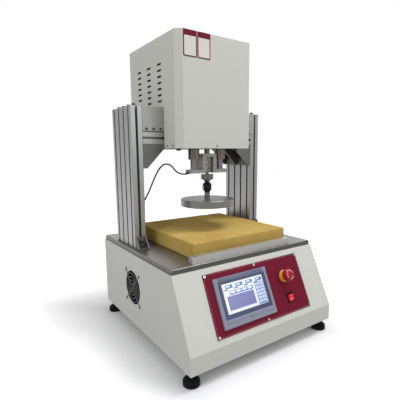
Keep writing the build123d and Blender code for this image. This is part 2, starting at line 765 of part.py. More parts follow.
def fence_screws():
    """Screws sunk in the fence bar, down into the top plate."""
    seat = PLATE_TOP + BAR_SECTION - BAR_SCREW_SHANK
    length = BAR_SECTION + PLATE_THICKNESS / 2
    return [
        screw((x, y, seat), (0, 0, -1), BAR_SCREW_SHANK, length, BAR_SCREW_HEAD, BAR_SCREW_SHANK)
        for x, y in bar_screw_places()
    ]


def foam_specimen():
    """Square slab of foam under test."""
    left = BAR_LEFT + FOAM_BAR_OFFSET
    front = BAR_FRONT + BAR_SECTION + FOAM_BAR_GAP
    return block(
        (left, left + FOAM_SIDE), (front, front + FOAM_SIDE), (PLATE_TOP, PLATE_TOP + FOAM_THICKNESS)
    )


def slot_outline():
    """T-slot cut into a face that lies along X at y = 0, with the metal below."""
    outline = [
        (-SLOT_OPENING / 2, 1),
        (-SLOT_OPENING / 2, -SLOT_LIP),
        (-SLOT_CAVITY / 2, -SLOT_LIP),
        (-SLOT_CAVITY / 2, -SLOT_LIP - SLOT_LIP / 2),
        (-SLOT_FLOOR / 2, -SLOT_DEPTH),
    ]
    mirrored = [(-x, y) for x, y in reversed(outline)]
    return make_face(Polyline(*outline, *mirrored, close=True))


def profile_section():
    """Section of the slotted profile: wide along X, one module along Y."""
    half = MODULE / 2
    section = RectangleRounded(PROFILE_WIDTH, MODULE, PROFILE_CORNER)
    middles = [MODULE * (i + 0.5) - PROFILE_WIDTH / 2 for i in range(PROFILE_MODULES)]
    slot = slot_outline()
    section -= [Pos(x, half) * slot for x in middles]
    section -= [Pos(x, -half) * Rot(0, 0, 180) * slot for x in middles]
    section -= [Pos(s * PROFILE_WIDTH / 2, 0) * Rot(0, 0, -90 * s) * slot for s in (-1, 1)]
    section -= [Pos(x, 0) * Circle(CORE_RADIUS) for x in middles]
    section -= [
        Pos(x + half, 0) * Rectangle(CHAMBER_WIDTH, CHAMBER_HEIGHT) for x in middles[:-1]
    ]
    return section


def left_column():
    """Upright profile, its wide faces to the sides and a slotted narrow face to the front."""
    foot = Plane(origin=(-COLUMN_X, COLUMN_Y, PLATE_TOP), x_dir=(0, 1, 0), z_dir=(0, 0, 1))
    return foot * extrude(profile_section(), COLUMN_LENGTH)


def right_column():
    """Mirror image of the left column."""
    return mirror(left_column(), Plane.YZ)


def crossbeam():
    """Profile laid flat between the columns."""
    end = Plane(
        origin=(-COLUMN_INNER, COLUMN_Y, BEAM_BOTTOM + MODULE / 2), x_dir=(0, 1, 0), z_dir=(1, 0, 0)
    )
    return end * extrude(profile_section(), COLUMN_GAP)


def column_end_screws():
    """Socket screws in the cores at the top of both columns."""
    return [
        screw((x, y, COLUMN_TOP), (0, 0, -1), CORE_SCREW_SHANK, CORE_SCREW_LENGTH, M8_HEAD_RADIUS,
              M8_HEAD_HEIGHT)
        for x, y in column_core_places()
    ]


def column_base_screws():
    """Screws from below the top plate up into the columns' cores."""
    seat = CABINET_TOP + M8_HEAD_HEIGHT
    length = PLATE_THICKNESS - M8_HEAD_HEIGHT + CORE_SCREW_LENGTH
    return [
        screw((x, y, seat), (0, 0, 1), CORE_SCREW_SHANK, length, M8_HEAD_RADIUS, M8_HEAD_HEIGHT)
        for x, y in column_core_places()
    ]


def foot_bracket_screw_y():
    """Where the foot bracket's lower screw enters the top plate."""
    return COLUMN_FRONT - (FOOT_BRACKET_DEPTH + FOOT_BRACKET_WALL) / 2


def foot_bracket_screw_z():
    """Level of the foot bracket's upper screw."""
    return PLATE_TOP + (FOOT_BRACKET_HEIGHT + FOOT_BRACKET_WALL) / 2


def foot_brackets():
    """Cast angle brackets with side webs in front of both columns."""
    front = COLUMN_FRONT - FOOT_BRACKET_DEPTH
    top = PLATE_TOP + FOOT_BRACKET_HEIGHT
    wall = FOOT_BRACKET_WALL
    outline = [
        (COLUMN_FRONT, PLATE_TOP),
        (front, PLATE_TOP),
        (front, PLATE_TOP + wall),
        (COLUMN_FRONT - wall, top),
        (COLUMN_FRONT, top),
    ]
    half = FOOT_BRACKET_WIDTH / 2
    bracket = prism_x(outline, (COLUMN_X - half, COLUMN_X + half))
    pocket = half - wall
    bracket -= block(
        (COLUMN_X - pocket, COLUMN_X + pocket),
        (front - 1, COLUMN_FRONT - wall),
        (PLATE_TOP + wall, top + 1),
    )
    bracket -= rod(
        (COLUMN_X, COLUMN_FRONT + 1, foot_bracket_screw_z()), (0, -1, 0), M8_SHANK + HOLE_PLAY, 2 * wall
    )
    bracket -= upright(
        COLUMN_X, foot_bracket_screw_y(), PLATE_TOP - 1, PLATE_TOP + 2 * wall, M5_SHANK + HOLE_PLAY
    )
    return both_sides(bracket)


def foot_bracket_screws():
    """Slot screw into the column and a smaller screw into the top plate, each side."""
    wall = FOOT_BRACKET_WALL
    upper = slot_screw(
        (COLUMN_X, COLUMN_FRONT - wall, foot_bracket_screw_z()), (0, 1, 0), wall
    )
    lower = screw(
        (COLUMN_X, foot_bracket_screw_y(), PLATE_TOP + wall), (0, 0, -1), M5_SHANK,
        SLOT_SCREW_REACH, M5_HEAD_RADIUS, M5_HEAD_HEIGHT
    )
    return both_sides(upper) + both_sides(lower)


def right_gusset():
    """Cast bracket under the right end of the beam, with webs at its ends and middle."""
    x = COLUMN_INNER
    leg, tip, wall = GUSSET_LEG, GUSSET_TIP, GUSSET_WALL
    web_outline = [
        (x, BEAM_BOTTOM),
        (x - leg, BEAM_BOTTOM),
        (x - leg, BEAM_BOTTOM - tip),
        (x - tip, BEAM_BOTTOM - leg),
        (x, BEAM_BOTTOM - leg),
    ]
    middle = COLUMN_Y
    starts = (COLUMN_FRONT, middle - wall / 2, COLUMN_REAR - wall)
    bracket = block((x - leg, x), (COLUMN_FRONT, COLUMN_REAR), (BEAM_BOTTOM - wall, BEAM_BOTTOM))
    bracket += block((x - wall, x), (COLUMN_FRONT, COLUMN_REAR), (BEAM_BOTTOM - leg, BEAM_BOTTOM))
    bracket += [prism_y(web_outline, (start, start + wall)) for start in starts]
    bracket -= [
        upright(x - GUSSET_SCREW_AT, y, BEAM_BOTTOM - 2 * wall, BEAM_BOTTOM + 1, M8_SHANK + HOLE_PLAY)
        for y in SLOT_YS
    ]
    return bracket - [
        rod((x + 1, y, BEAM_BOTTOM - GUSSET_SCREW_AT), (-1, 0, 0), M8_SHANK + HOLE_PLAY, 2 * wall)
        for y in SLOT_YS
    ]


def left_gusset():
    """Mirror image of the right gusset."""
    return mirror(right_gusset(), Plane.YZ)


def gusset_screws():
    """Slot screws through both legs of both gussets."""
    up = [
        slot_screw((COLUMN_INNER - GUSSET_SCREW_AT, y, BEAM_BOTTOM - GUSSET_WALL), (0, 0, 1), GUSSET_WALL)
        for y in SLOT_YS
    ]
    out = [
        slot_screw((COLUMN_INNER - GUSSET_WALL, y, BEAM_BOTTOM - GUSSET_SCREW_AT), (1, 0, 0), GUSSET_WALL)
        for y in SLOT_YS
    ]
    return [side for one in up + out for side in both_sides(one)]


def tie_screw_places():
    """Screws of the tie plate on both sides, as (x, z) points."""
    z = BEAM_TOP + TIE_BAR_SECTION / 2
    start = COLUMN_INNER - TIE_SCREW_START
    return [(s * (start - i * TIE_SCREW_PITCH), z) for s in (-1, 1) for i in range(TIE_SCREW_COUNT)]


def back_plate_screw_places():
    """Screws that hold the drive's back plate to the tie plate, as (x, z) points."""
    return [(s * BACK_PLATE_SCREW_X, COLUMN_TOP - BACK_PLATE_SCREW_DROP) for s in (-1, 1)]


def tie_plate():
    """Plate between the columns that stands on edge above the beam's front."""
    plate = block(
        (-COLUMN_INNER, COLUMN_INNER),
        (COLUMN_FRONT, TIE_PLATE_REAR),
        (BEAM_TOP + TIE_PLATE_LIFT, COLUMN_TOP),
    )
    return plate - [
        rod((x, COLUMN_FRONT - 1, z), (0, 1, 0), M5_SHANK + HOLE_PLAY, 2 * TIE_PLATE_THICKNESS)
        for x, z in tie_screw_places() + back_plate_screw_places()
    ]


def tie_bars():
    """Square bars on the beam, behind the tie plate, that its screws enter."""
    bar = block(
        (COLUMN_INNER - TIE_BAR_LENGTH, COLUMN_INNER),
        (TIE_PLATE_REAR, TIE_PLATE_REAR + TIE_BAR_SECTION),
        (BEAM_TOP, BEAM_TOP + TIE_BAR_SECTION),
    )
    holes = [
        rod((x, TIE_PLATE_REAR - 1, z), (0, 1, 0), M5_SHANK + HOLE_PLAY, TIE_BAR_SECTION)
        for x, z in tie_screw_places()
        if x > 0
    ]
    return both_sides(bar - holes)


def tie_plate_screws():
    """Screws on the front of the tie plate, into the bars and the back plate."""
    length = TIE_PLATE_THICKNESS + TIE_BAR_SECTION / 2
    screws = [
        screw((x, COLUMN_FRONT, z), (0, 1, 0), M5_SHANK, length, M5_HEAD_RADIUS, M5_HEAD_HEIGHT)
        for x, z in tie_screw_places()
    ]
    short = TIE_PLATE_THICKNESS + BACK_PLATE_THICKNESS / 2
    return screws + [
        screw((x, COLUMN_FRONT, z), (0, 1, 0), M5_SHANK, short, M5_HEAD_RADIUS, M5_HEAD_HEIGHT)
        for x, z in back_plate_screw_places()
    ]


def housing_plan(inset):
    """Plan of the head housing with its two front corners cut, inset from the outside."""
    side = HOUSING_SIDE - inset
    front = HOUSING_FRONT + inset
    cut = HOUSING_CHAMFER - inset * math.tan(math.pi / 8)
    return [
        (-side, HOUSING_REAR - inset),
        (-side, front + cut),
        (-side + cut, front),
        (side - cut, front),
        (side, front + cut),
        (side, HOUSING_REAR - inset),
    ]


def notch_outline():
    """Stepped notch in the housing's side for the beam, the tie bar and the tie plate."""
    low = HOUSING_BOTTOM - 1
    play = NOTCH_PLAY
    return [
        (COLUMN_FRONT - play, low),
        (COLUMN_FRONT - play, COLUMN_TOP + play),
        (TIE_PLATE_REAR + play, COLUMN_TOP + play),
        (TIE_PLATE_REAR + play, BEAM_TOP + TIE_BAR_SECTION + play),
        (TIE_PLATE_REAR + TIE_BAR_SECTION + play, BEAM_TOP + TIE_BAR_SECTION + play),
        (TIE_PLATE_REAR + TIE_BAR_SECTION + play, BEAM_TOP + play),
        (COLUMN_REAR + play, BEAM_TOP + play),
        (COLUMN_REAR + play, low),
    ]


def louvre_places():
    """Louvre slots in a side of the housing, as (y, z) points."""
    top = HOUSING_TOP - LOUVRE_DROP
    return [
        (LOUVRE_FIRST_Y + i * LOUVRE_COLUMN_PITCH, top - j * LOUVRE_PITCH)
        for i in range(LOUVRE_COLUMNS)
        for j in range(LOUVRE_ROWS)
    ]


def housing_side_screw_z():
    """Level of the housing's lower screws, in the edge of the head plate."""
    return HEAD_PLATE_BOTTOM + HEAD_PLATE_THICKNESS / 2


def head_housing():
    """Folded sheet cover over the drive, open below, with a flange round its back."""
    cover = prism_z(housing_plan(0), (HOUSING_BOTTOM, HOUSING_TOP))
    cover -= prism_z(housing_plan(HOUSING_SHEET), (HOUSING_BOTTOM - 1, HOUSING_TOP - HOUSING_SHEET))
    flange_span = (HOUSING_REAR - 2 * HOUSING_SHEET, HOUSING_REAR + 1)
    window = HOUSING_SIDE - HOUSING_REAR_FLANGE
    cover -= block(
        (-window, window), flange_span, (HOUSING_BOTTOM - 1, HOUSING_TOP - HOUSING_REAR_FLANGE)
    )
    inner = HOUSING_SIDE - HOUSING_SHEET
    cover -= block(
        (-inner, inner), flange_span, (HOUSING_BOTTOM - 1, HOUSING_BOTTOM + HOUSING_SHEET + COVER_PLAY)
    )
    cover -= prism_x(notch_outline(), (-HOUSING_WIDTH, HOUSING_WIDTH))
    slots = [
        Pos(-HOUSING_SIDE, y, z) * extrude(Plane.YZ * SlotOverall(LOUVRE_LENGTH, LOUVRE_HEIGHT),
                                           2 * HOUSING_SHEET, both=True)
        for y, z in louvre_places()
    ]
    cover -= [side for slot in slots for side in both_sides(slot)]
    z = housing_side_screw_z()
    holes = [
        rod((-HOUSING_WIDTH, y, z), (1, 0, 0), M3_SHANK + HOLE_PLAY, 2 * HOUSING_WIDTH)
        for y in HOUSING_SCREW_YS
    ]
    holes.append(
        rod((HOUSING_FRONT_SCREW_X, HOUSING_FRONT - 1, z), (0, 1, 0), M3_SHANK + HOLE_PLAY,
            2 * HOUSING_SHEET)
    )
    holes += [
        rod((x, HOUSING_REAR + 1, z), (0, -1, 0), M3_SHANK + HOLE_PLAY, 2 * HOUSING_SHEET)
        for x, z in cover_screw_places(HOUSING_SIDE, HOUSING_BOTTOM, HOUSING_TOP)
    ]
    return cover - holes


def head_rear_cover():
    """Sheet over the back of the head, folded forward below as far as the beam."""
    rear = HOUSING_REAR + HOUSING_SHEET
    cover = block((-HOUSING_SIDE, HOUSING_SIDE), (HOUSING_REAR, rear), (HOUSING_BOTTOM, HOUSING_TOP))
    inner = HEAD_PLATE_SIDE
    cover += block(
        (-inner, inner),
        (COLUMN_REAR + NOTCH_PLAY, rear),
        (HOUSING_BOTTOM, HOUSING_BOTTOM + HOUSING_SHEET),
    )
    cover -= block(
        (-HOUSING_SIDE - 1, -inner), (COLUMN_REAR, HOUSING_REAR),
        (HOUSING_BOTTOM - 1, HOUSING_BOTTOM + 2 * HOUSING_SHEET)
    )
    return cover - [
        rod((x, rear + 1, z), (0, -1, 0), M3_SHANK + HOLE_PLAY, 2 * HOUSING_SHEET)
        for x, z in cover_screw_places(HOUSING_SIDE, HOUSING_BOTTOM, HOUSING_TOP)
    ]


def housing_screws():
    """Screws that hold the housing to the head plate and the rear cover to the housing."""
    z = housing_side_screw_z()
    sides = [
        screw((HOUSING_SIDE, y, z), (-1, 0, 0), M3_SHANK, HOUSING_SCREW_LENGTH, M3_HEAD_RADIUS,
              M3_HEAD_HEIGHT)
        for y in HOUSING_SCREW_YS
    ]
    front = screw(
        (HOUSING_FRONT_SCREW_X, HOUSING_FRONT, z), (0, 1, 0), M3_SHANK, HOUSING_SCREW_LENGTH,
        M3_HEAD_RADIUS, M3_HEAD_HEIGHT
    )
    rear = [
        screw((x, HOUSING_REAR + HOUSING_SHEET, level), (0, -1, 0), M3_SHANK, 2 * HOUSING_SHEET,
              M3_HEAD_RADIUS, M3_HEAD_HEIGHT)
        for x, level in cover_screw_places(HOUSING_SIDE, HOUSING_BOTTOM, HOUSING_TOP)
    ]
    return [side for one in sides for side in both_sides(one)] + [front] + rear


def head_plate():
    """Plate under the beam that carries the guide bushings."""
    x = HEAD_PLATE_SIDE
    cut = HOUSING_CHAMFER
    front = HEAD_PLATE_FRONT + COVER_PLAY
    plan = [
        (-x, COLUMN_REAR),
        (-x, front + cut),
        (-x + cut, front),
        (x - cut, front),
        (x, front + cut),
        (x, COLUMN_REAR),
    ]
    plate = prism_z(plan, (HEAD_PLATE_BOTTOM, BEAM_BOTTOM))
    low, high = HEAD_PLATE_BOTTOM - 1, BEAM_BOTTOM + 1
    plate -= [upright(s * GUIDE_X, SPINDLE_Y, low, high, BUSHING_RADIUS + HOLE_PLAY) for s in (-1, 1)]
    plate -= upright(0, SPINDLE_Y, low, high, TUBE_HOLE_RADIUS)
    plate -= [upright(s * RIB_X, RIB_SCREW_Y, low, high, M10_SHANK + HOLE_PLAY) for s in (-1, 1)]
    plate -= [upright(x, y, low, high, M8_SHANK + HOLE_PLAY) for x, y in head_plate_screw_places()]
    plate -= [
        upright(x, y, low, HEAD_PLATE_BOTTOM + M8_HEAD_HEIGHT, M8_HEAD_RADIUS + COUNTERBORE_PLAY)
        for x, y in head_plate_screw_places()
    ]
    z = housing_side_screw_z()
    reach = HOUSING_SCREW_LENGTH
    plate -= [
        rod((s * HOUSING_SIDE, y, z), (-s, 0, 0), M3_SHANK + HOLE_PLAY, reach)
        for s in (-1, 1)
        for y in HOUSING_SCREW_YS
    ]
    return plate - rod(
        (HOUSING_FRONT_SCREW_X, HOUSING_FRONT, z), (0, 1, 0), M3_SHANK + HOLE_PLAY, reach
    )


def head_plate_screw_places():
    """Screws that hold the head plate under the beam's first and last slots."""
    return [(s * RIB_X, y) for s in (-1, 1) for y in (SLOT_YS[0], SLOT_YS[-1])]


def head_plate_screws():
    """Sunk slot screws into the beam and the two large screws under the ribs."""
    seat = HEAD_PLATE_BOTTOM + M8_HEAD_HEIGHT
    wall = BEAM_BOTTOM - seat
    screws = [slot_screw((x, y, seat), (0, 0, 1), wall) for x, y in head_plate_screw_places()]
    return screws + [
        screw((s * RIB_X, RIB_SCREW_Y, HEAD_PLATE_BOTTOM), (0, 0, 1), M10_SHANK,
              HEAD_PLATE_THICKNESS + RIB_TOE / 2, M10_HEAD_RADIUS, M10_HEAD_HEIGHT)
        for s in (-1, 1)
    ]


def head_ribs():
    """Ribs that stiffen the head plate in front of the beam."""
    front = RIB_SCREW_Y - RIB_FRONT
    outline = [
        (front, BEAM_BOTTOM),
        (front, BEAM_BOTTOM + RIB_TOE),
        (COLUMN_FRONT - RIB_CROWN, BEAM_TOP),
        (COLUMN_FRONT, BEAM_TOP),
        (COLUMN_FRONT, BEAM_BOTTOM),
    ]
    half = RIB_THICKNESS / 2
    rib = prism_x(outline, (RIB_X - half, RIB_X + half))
    rib -= upright(
        RIB_X, RIB_SCREW_Y, BEAM_BOTTOM - 1, BEAM_BOTTOM + RIB_TOE / 2 + 1, M10_SHANK + HOLE_PLAY
    )
    return both_sides(rib)


def guide_bushing(x):
    """Flanged linear bushing that hangs through the head plate."""
    bushing = upright(x, SPINDLE_Y, HEAD_PLATE_BOTTOM - BUSHING_DROP, BEAM_BOTTOM, BUSHING_RADIUS)
    bushing += upright(
        x, SPINDLE_Y, BEAM_BOTTOM, BEAM_BOTTOM + BUSHING_FLANGE_HEIGHT, BUSHING_FLANGE_RADIUS
    )
    bore = GUIDE_ROD_RADIUS + RUNNING_PLAY
    return bushing - upright(x, SPINDLE_Y, CROSSHEAD_TOP, CARRIAGE_BOTTOM, bore)


def left_guide_bushing():
    """Bushing of the left guide rod."""
    return guide_bushing(-GUIDE_X)


def right_guide_bushing():
    """Bushing of the right guide rod."""
    return guide_bushing(GUIDE_X)


def guide_rods():
    """Ground rods that stand on the crosshead and carry the carriage at their tops."""
    rod_right = upright(GUIDE_X, SPINDLE_Y, CROSSHEAD_TOP, CARRIAGE_TOP, GUIDE_ROD_RADIUS)
    rod_right += upright(
        GUIDE_X, SPINDLE_Y, CROSSHEAD_TOP - GUIDE_SPIGOT_LENGTH, CROSSHEAD_TOP, GUIDE_SPIGOT_RADIUS
    )
    return both_sides(rod_right)


def crosshead_bracket():
    """Hat-shaped bracket: two arms for the guide rods and a portal over the load cell."""
    half, leg, opening = CROSSHEAD_WIDTH / 2, PORTAL_WIDTH / 2, PORTAL_OPENING / 2
    roof = PORTAL_TOP - PORTAL_ROOF
    right = [
        (opening, roof),
        (opening, CROSSHEAD_BOTTOM),
        (half, CROSSHEAD_BOTTOM),
        (half, CROSSHEAD_TOP),
        (leg, CROSSHEAD_TOP),
        (leg, PORTAL_TOP),
    ]
    left = [(-x, z) for x, z in reversed(right)]
    depth = (SPINDLE_Y - CROSSHEAD_DEPTH / 2, SPINDLE_Y + CROSSHEAD_DEPTH / 2)
    bracket = prism_y(right + left, depth)
    bracket -= [
        upright(s * GUIDE_X, SPINDLE_Y, CROSSHEAD_TOP - GUIDE_SPIGOT_LENGTH, CROSSHEAD_TOP + 1,
                GUIDE_SPIGOT_RADIUS + HOLE_PLAY)
        for s in (-1, 1)
    ]
    bracket -= upright(0, SPINDLE_Y, roof - 1, PORTAL_TOP + 1, STUD_RADIUS + HOLE_PLAY)
    groove = block(
        (-half - 1, -opening + 1),
        (SPINDLE_Y - CABLE_GROOVE / 2, SPINDLE_Y + CABLE_GROOVE),
        (CROSSHEAD_BOTTOM - 1, CROSSHEAD_BOTTOM + CABLE_GROOVE),
    )
    return bracket - groove


def load_cell():
    """S-shaped load cell that hangs in the portal."""
    half = CELL_WIDTH / 2
    cell = block(
        (-half, half),
        (SPINDLE_Y - CELL_DEPTH / 2, SPINDLE_Y + CELL_DEPTH / 2),
        (CELL_BOTTOM, CELL_TOP),
    )
    deep = (SPINDLE_Y - CELL_DEPTH, SPINDLE_Y + CELL_DEPTH)
    third = CELL_HEIGHT / 3
    upper = CELL_TOP - third
    lower = CELL_BOTTOM + third
    cell -= block((-half + CELL_WEB, half + 1), deep, (upper, upper + CELL_CUT))
    cell -= block((-half - 1, half - CELL_WEB), deep, (lower - CELL_CUT, lower))
    cell -= upright(0, SPINDLE_Y, CELL_TOP - STUD_DEPTH, CELL_TOP + 1, STUD_RADIUS + HOLE_PLAY)
    return cell - upright(
        0, SPINDLE_Y, CELL_BOTTOM - 1, CELL_BOTTOM + STUD_DEPTH, STUD_RADIUS + HOLE_PLAY
    )


def push_tube():
    """Tube that pushes the portal down, with the ball screw's end running inside it."""
    tube = upright(0, SPINDLE_Y, PORTAL_TOP, CARRIAGE_BOTTOM + CARRIAGE_SEAT, TUBE_RADIUS)
    tube -= upright(0, SPINDLE_Y, PORTAL_TOP + TUBE_END, CARRIAGE_TOP, TUBE_BORE)
    return tube + upright(0, SPINDLE_Y, CELL_TOP - STUD_DEPTH, PORTAL_TOP, STUD_RADIUS)


def spindle_adapter():
    """Flanged adapter that screws up into the load cell and tapers to the coupling."""
    outline = [
        (0, ADAPTER_TOP),
        (ADAPTER_RADIUS, ADAPTER_TOP),
        (ADAPTER_RADIUS, ADAPTER_BOTTOM),
        ((ADAPTER_RADIUS + CONE_RADIUS) / 2, ADAPTER_BOTTOM),
        (CONE_RADIUS, COUPLING_TOP),
        (0, COUPLING_TOP),
    ]
    body = turned(outline, y=SPINDLE_Y)
    body += upright(0, SPINDLE_Y, ADAPTER_TOP, CELL_BOTTOM + STUD_DEPTH, STUD_RADIUS)
    return body + upright(
        0, SPINDLE_Y, COUPLING_TOP - COUPLING_HEIGHT / 3, COUPLING_TOP, COUPLING_BORE
    )


def indenter_coupling():
    """Black coupling that clamps the indenter's rod."""
    small = COUPLING_RADIUS - COUPLING_CHAMFER
    outline = [
        (0, COUPLING_TOP),
        (small, COUPLING_TOP),
        (COUPLING_RADIUS, COUPLING_TOP - COUPLING_CHAMFER),
        (COUPLING_RADIUS, COUPLING_WAIST + COUPLING_CHAMFER),
        (COUPLING_NECK_RADIUS, COUPLING_WAIST),
        (COUPLING_NECK_RADIUS, COUPLING_BOTTOM),
        (0, COUPLING_BOTTOM),
    ]
    body = turned(outline, y=SPINDLE_Y)
    body -= upright(0, SPINDLE_Y, COUPLING_BOTTOM - 1, COUPLING_TOP + 1, COUPLING_BORE + HOLE_PLAY)
    return body - rod(
        (-COUPLING_RADIUS - 1, SPINDLE_Y, COUPLING_WAIST + THUMB_SCREW_AT), (1, 0, 0),
        THUMB_SCREW_SHANK + HOLE_PLAY, COUPLING_RADIUS
    )


def coupling_screw():
    """Bright screw on the coupling's left that clamps the rod."""
    z = COUPLING_WAIST + THUMB_SCREW_AT
    reach = COUPLING_RADIUS - COUPLING_BORE - HOLE_PLAY
    return screw(
        (-COUPLING_RADIUS, SPINDLE_Y, z), (1, 0, 0), THUMB_SCREW_SHANK, reach, THUMB_SCREW_RADIUS,
        THUMB_SCREW_HEAD
    )


def indenter_rod():
    """Steel rod between the coupling and the disc, with a spigot at each end."""
    body = upright(0, SPINDLE_Y, DISC_TOP, COUPLING_BOTTOM, ROD_RADIUS)
    body += upright(
        0, SPINDLE_Y, COUPLING_BOTTOM, COUPLING_BOTTOM + ROD_SPIGOT_LENGTH, COUPLING_BORE
    )
    return body + upright(0, SPINDLE_Y, DISC_TOP - DISC_THICKNESS / 2, DISC_TOP, STUD_RADIUS)


def indenter_disc():
    """Round flat-faced indenter with eased edges."""
    disc = upright(0, SPINDLE_Y, DISC_TOP - DISC_THICKNESS, DISC_TOP, DISC_RADIUS)
    disc = chamfer(disc.edges(), DISC_EDGE)
    return disc - upright(
        0, SPINDLE_Y, DISC_TOP - DISC_THICKNESS / 2, DISC_TOP + 1, STUD_RADIUS + HOLE_PLAY
    )


def carriage():
    """Plate inside the head that joins the guide rods, the push tube and the ball nut."""
    half = CROSSHEAD_WIDTH / 2
    depth = CROSSHEAD_DEPTH / 2
    plate = block(
        (-half, half), (SPINDLE_Y - depth, SPINDLE_Y + depth), (CARRIAGE_BOTTOM, CARRIAGE_TOP)
    )
    low, high = CARRIAGE_BOTTOM - 1, CARRIAGE_TOP + 1
    plate -= [upright(s * GUIDE_X, SPINDLE_Y, low, high, GUIDE_ROD_RADIUS + HOLE_PLAY) for s in (-1, 1)]
    plate -= upright(0, SPINDLE_Y, low, CARRIAGE_BOTTOM + CARRIAGE_SEAT, TUBE_RADIUS + HOLE_PLAY)
    return plate - upright(0, SPINDLE_Y, low, high, TUBE_BORE)


def ball_nut():
    """Flanged nut on the carriage."""
    nut = upright(0, SPINDLE_Y, CARRIAGE_TOP, CARRIAGE_TOP + NUT_FLANGE_HEIGHT, NUT_FLANGE_RADIUS)
    nut += upright(0, SPINDLE_Y, CARRIAGE_TOP, CARRIAGE_TOP + NUT_HEIGHT, NUT_RADIUS)
    return nut - upright(0, SPINDLE_Y, CARRIAGE_BOTTOM, BLOCK_BOTTOM, SCREW_RADIUS + RUNNING_PLAY)


def ball_screw():
    """Ball screw that hangs from the bearing block, with its pulley journal above."""
    top = BLOCK_BOTTOM - RUNNING_PLAY
    body = upright(0, SPINDLE_Y, top - SCREW_LENGTH, top, SCREW_RADIUS)
    return body + upright(0, SPINDLE_Y, top, PULLEY_TOP + SHAFT_TIP, JOURNAL_RADIUS)


def bearing_block():
    """Block under the motor plate that holds the ball screw's bearings."""
    half = BLOCK_WIDTH / 2
    body = block((-half, half), (BLOCK_FRONT, COLUMN_FRONT), (BLOCK_BOTTOM, MOTOR_PLATE_BOTTOM))
    return body - upright(
        0, SPINDLE_Y, BLOCK_BOTTOM - 1, MOTOR_PLATE_TOP, JOURNAL_RADIUS + RUNNING_PLAY
    )


def back_plate():
    """Upright plate behind the tie plate that carries the drive."""
    half = BACK_PLATE_WIDTH / 2
    depth = (TIE_PLATE_REAR, TIE_PLATE_REAR + BACK_PLATE_THICKNESS)
    plate = block((-half, half), depth, (BEAM_TOP, MOTOR_PLATE_BOTTOM))
    return plate - [
        rod((x, TIE_PLATE_REAR - 1, z), (0, 1, 0), M5_SHANK + HOLE_PLAY, BACK_PLATE_THICKNESS)
        for x, z in back_plate_screw_places()
    ]


def motor_plate():
    """Plate on top of the back plate, between the motor and its pulley."""
    half = MOTOR_PLATE_WIDTH / 2
    plate = block(
        (-half, half), (BLOCK_FRONT, MOTOR_PLATE_REAR), (MOTOR_PLATE_BOTTOM, MOTOR_PLATE_TOP)
    )
    low, high = MOTOR_PLATE_BOTTOM - 1, MOTOR_PLATE_TOP + 1
    plate -= upright(0, SPINDLE_Y, low, high, JOURNAL_RADIUS + SHAFT_PLAY)
    return plate - upright(0, MOTOR_Y, low, high, MOTOR_SHAFT_RADIUS + SHAFT_PLAY)


def servo_motor():
    """Servo motor hung under the motor plate, with its encoder below."""
    half, small = MOTOR_SIZE / 2, ENCODER_SIZE / 2
    low = MOTOR_PLATE_BOTTOM - MOTOR_HEIGHT
    body = block((-half, half), (MOTOR_Y - half, MOTOR_Y + half), (low, MOTOR_PLATE_BOTTOM))
    body += block((-small, small), (MOTOR_Y - small, MOTOR_Y + small), (low - ENCODER_HEIGHT, low))
    return body - upright(
        0, MOTOR_Y, MOTOR_PLATE_BOTTOM - MOTOR_SHAFT_SEAT, MOTOR_PLATE_TOP,
        MOTOR_SHAFT_RADIUS + RUNNING_PLAY
    )


def motor_shaft():
    """Shaft of the servo motor."""
    low = MOTOR_PLATE_BOTTOM - MOTOR_SHAFT_SEAT + RUNNING_PLAY
    return upright(0, MOTOR_Y, low, PULLEY_TOP + SHAFT_TIP, MOTOR_SHAFT_RADIUS)


def pulley(y, bore):
    """Flanged belt pulley on a shaft at the given depth."""
    body = upright(0, y, PULLEY_BOTTOM, PULLEY_TOP, PULLEY_RADIUS)
    flange = PULLEY_FLANGE
    body += upright(0, y, PULLEY_BOTTOM, PULLEY_BOTTOM + flange, PULLEY_FLANGE_RADIUS)
    body += upright(0, y, PULLEY_TOP - flange, PULLEY_TOP, PULLEY_FLANGE_RADIUS)
    return body - upright(0, y, PULLEY_BOTTOM - 1, PULLEY_TOP + 1, bore + HOLE_PLAY)


def screw_pulley():
    """Pulley on the ball screw."""
    return pulley(SPINDLE_Y, JOURNAL_RADIUS)


def motor_pulley():
    """Pulley on the motor's shaft."""
    return pulley(MOTOR_Y, MOTOR_SHAFT_RADIUS)


def drive_belt():
    """Belt round both pulleys."""
    reach = MOTOR_Y - SPINDLE_Y
    inner = 2 * (PULLEY_RADIUS + RUNNING_PLAY)
    outer = inner + 2 * BELT_THICKNESS
    loop = SlotCenterToCenter(reach, outer, rotation=90) - SlotCenterToCenter(reach, inner, rotation=90)
    low = PULLEY_BOTTOM + PULLEY_FLANGE + BELT_SIDE_PLAY
    return Pos(0, (SPINDLE_Y + MOTOR_Y) / 2, low) * extrude(loop, BELT_WIDTH)


def control_panel():
    """Coloured plate on the slanted face, cut for the screen, the stop and the switch."""
    middle = PANEL_DOWN + PANEL_HEIGHT / 2
    plate = on_panel(0, middle) * Box(PANEL_WIDTH, PANEL_HEIGHT, PANEL_THICKNESS, align=FROM_BELOW)
    return plate - panel_cutters()


def panel_screws():
    """Dome screws round the control panel."""
    one = Cylinder(M5_HEAD_RADIUS, M5_HEAD_HEIGHT, align=FROM_BELOW)
    one += Pos(0, 0, -PANEL_SCREW_LENGTH) * Cylinder(M5_SHANK, PANEL_SCREW_LENGTH, align=FROM_BELOW)
    return [on_panel(x, down, PANEL_THICKNESS) * one for x, down in panel_screw_places()]


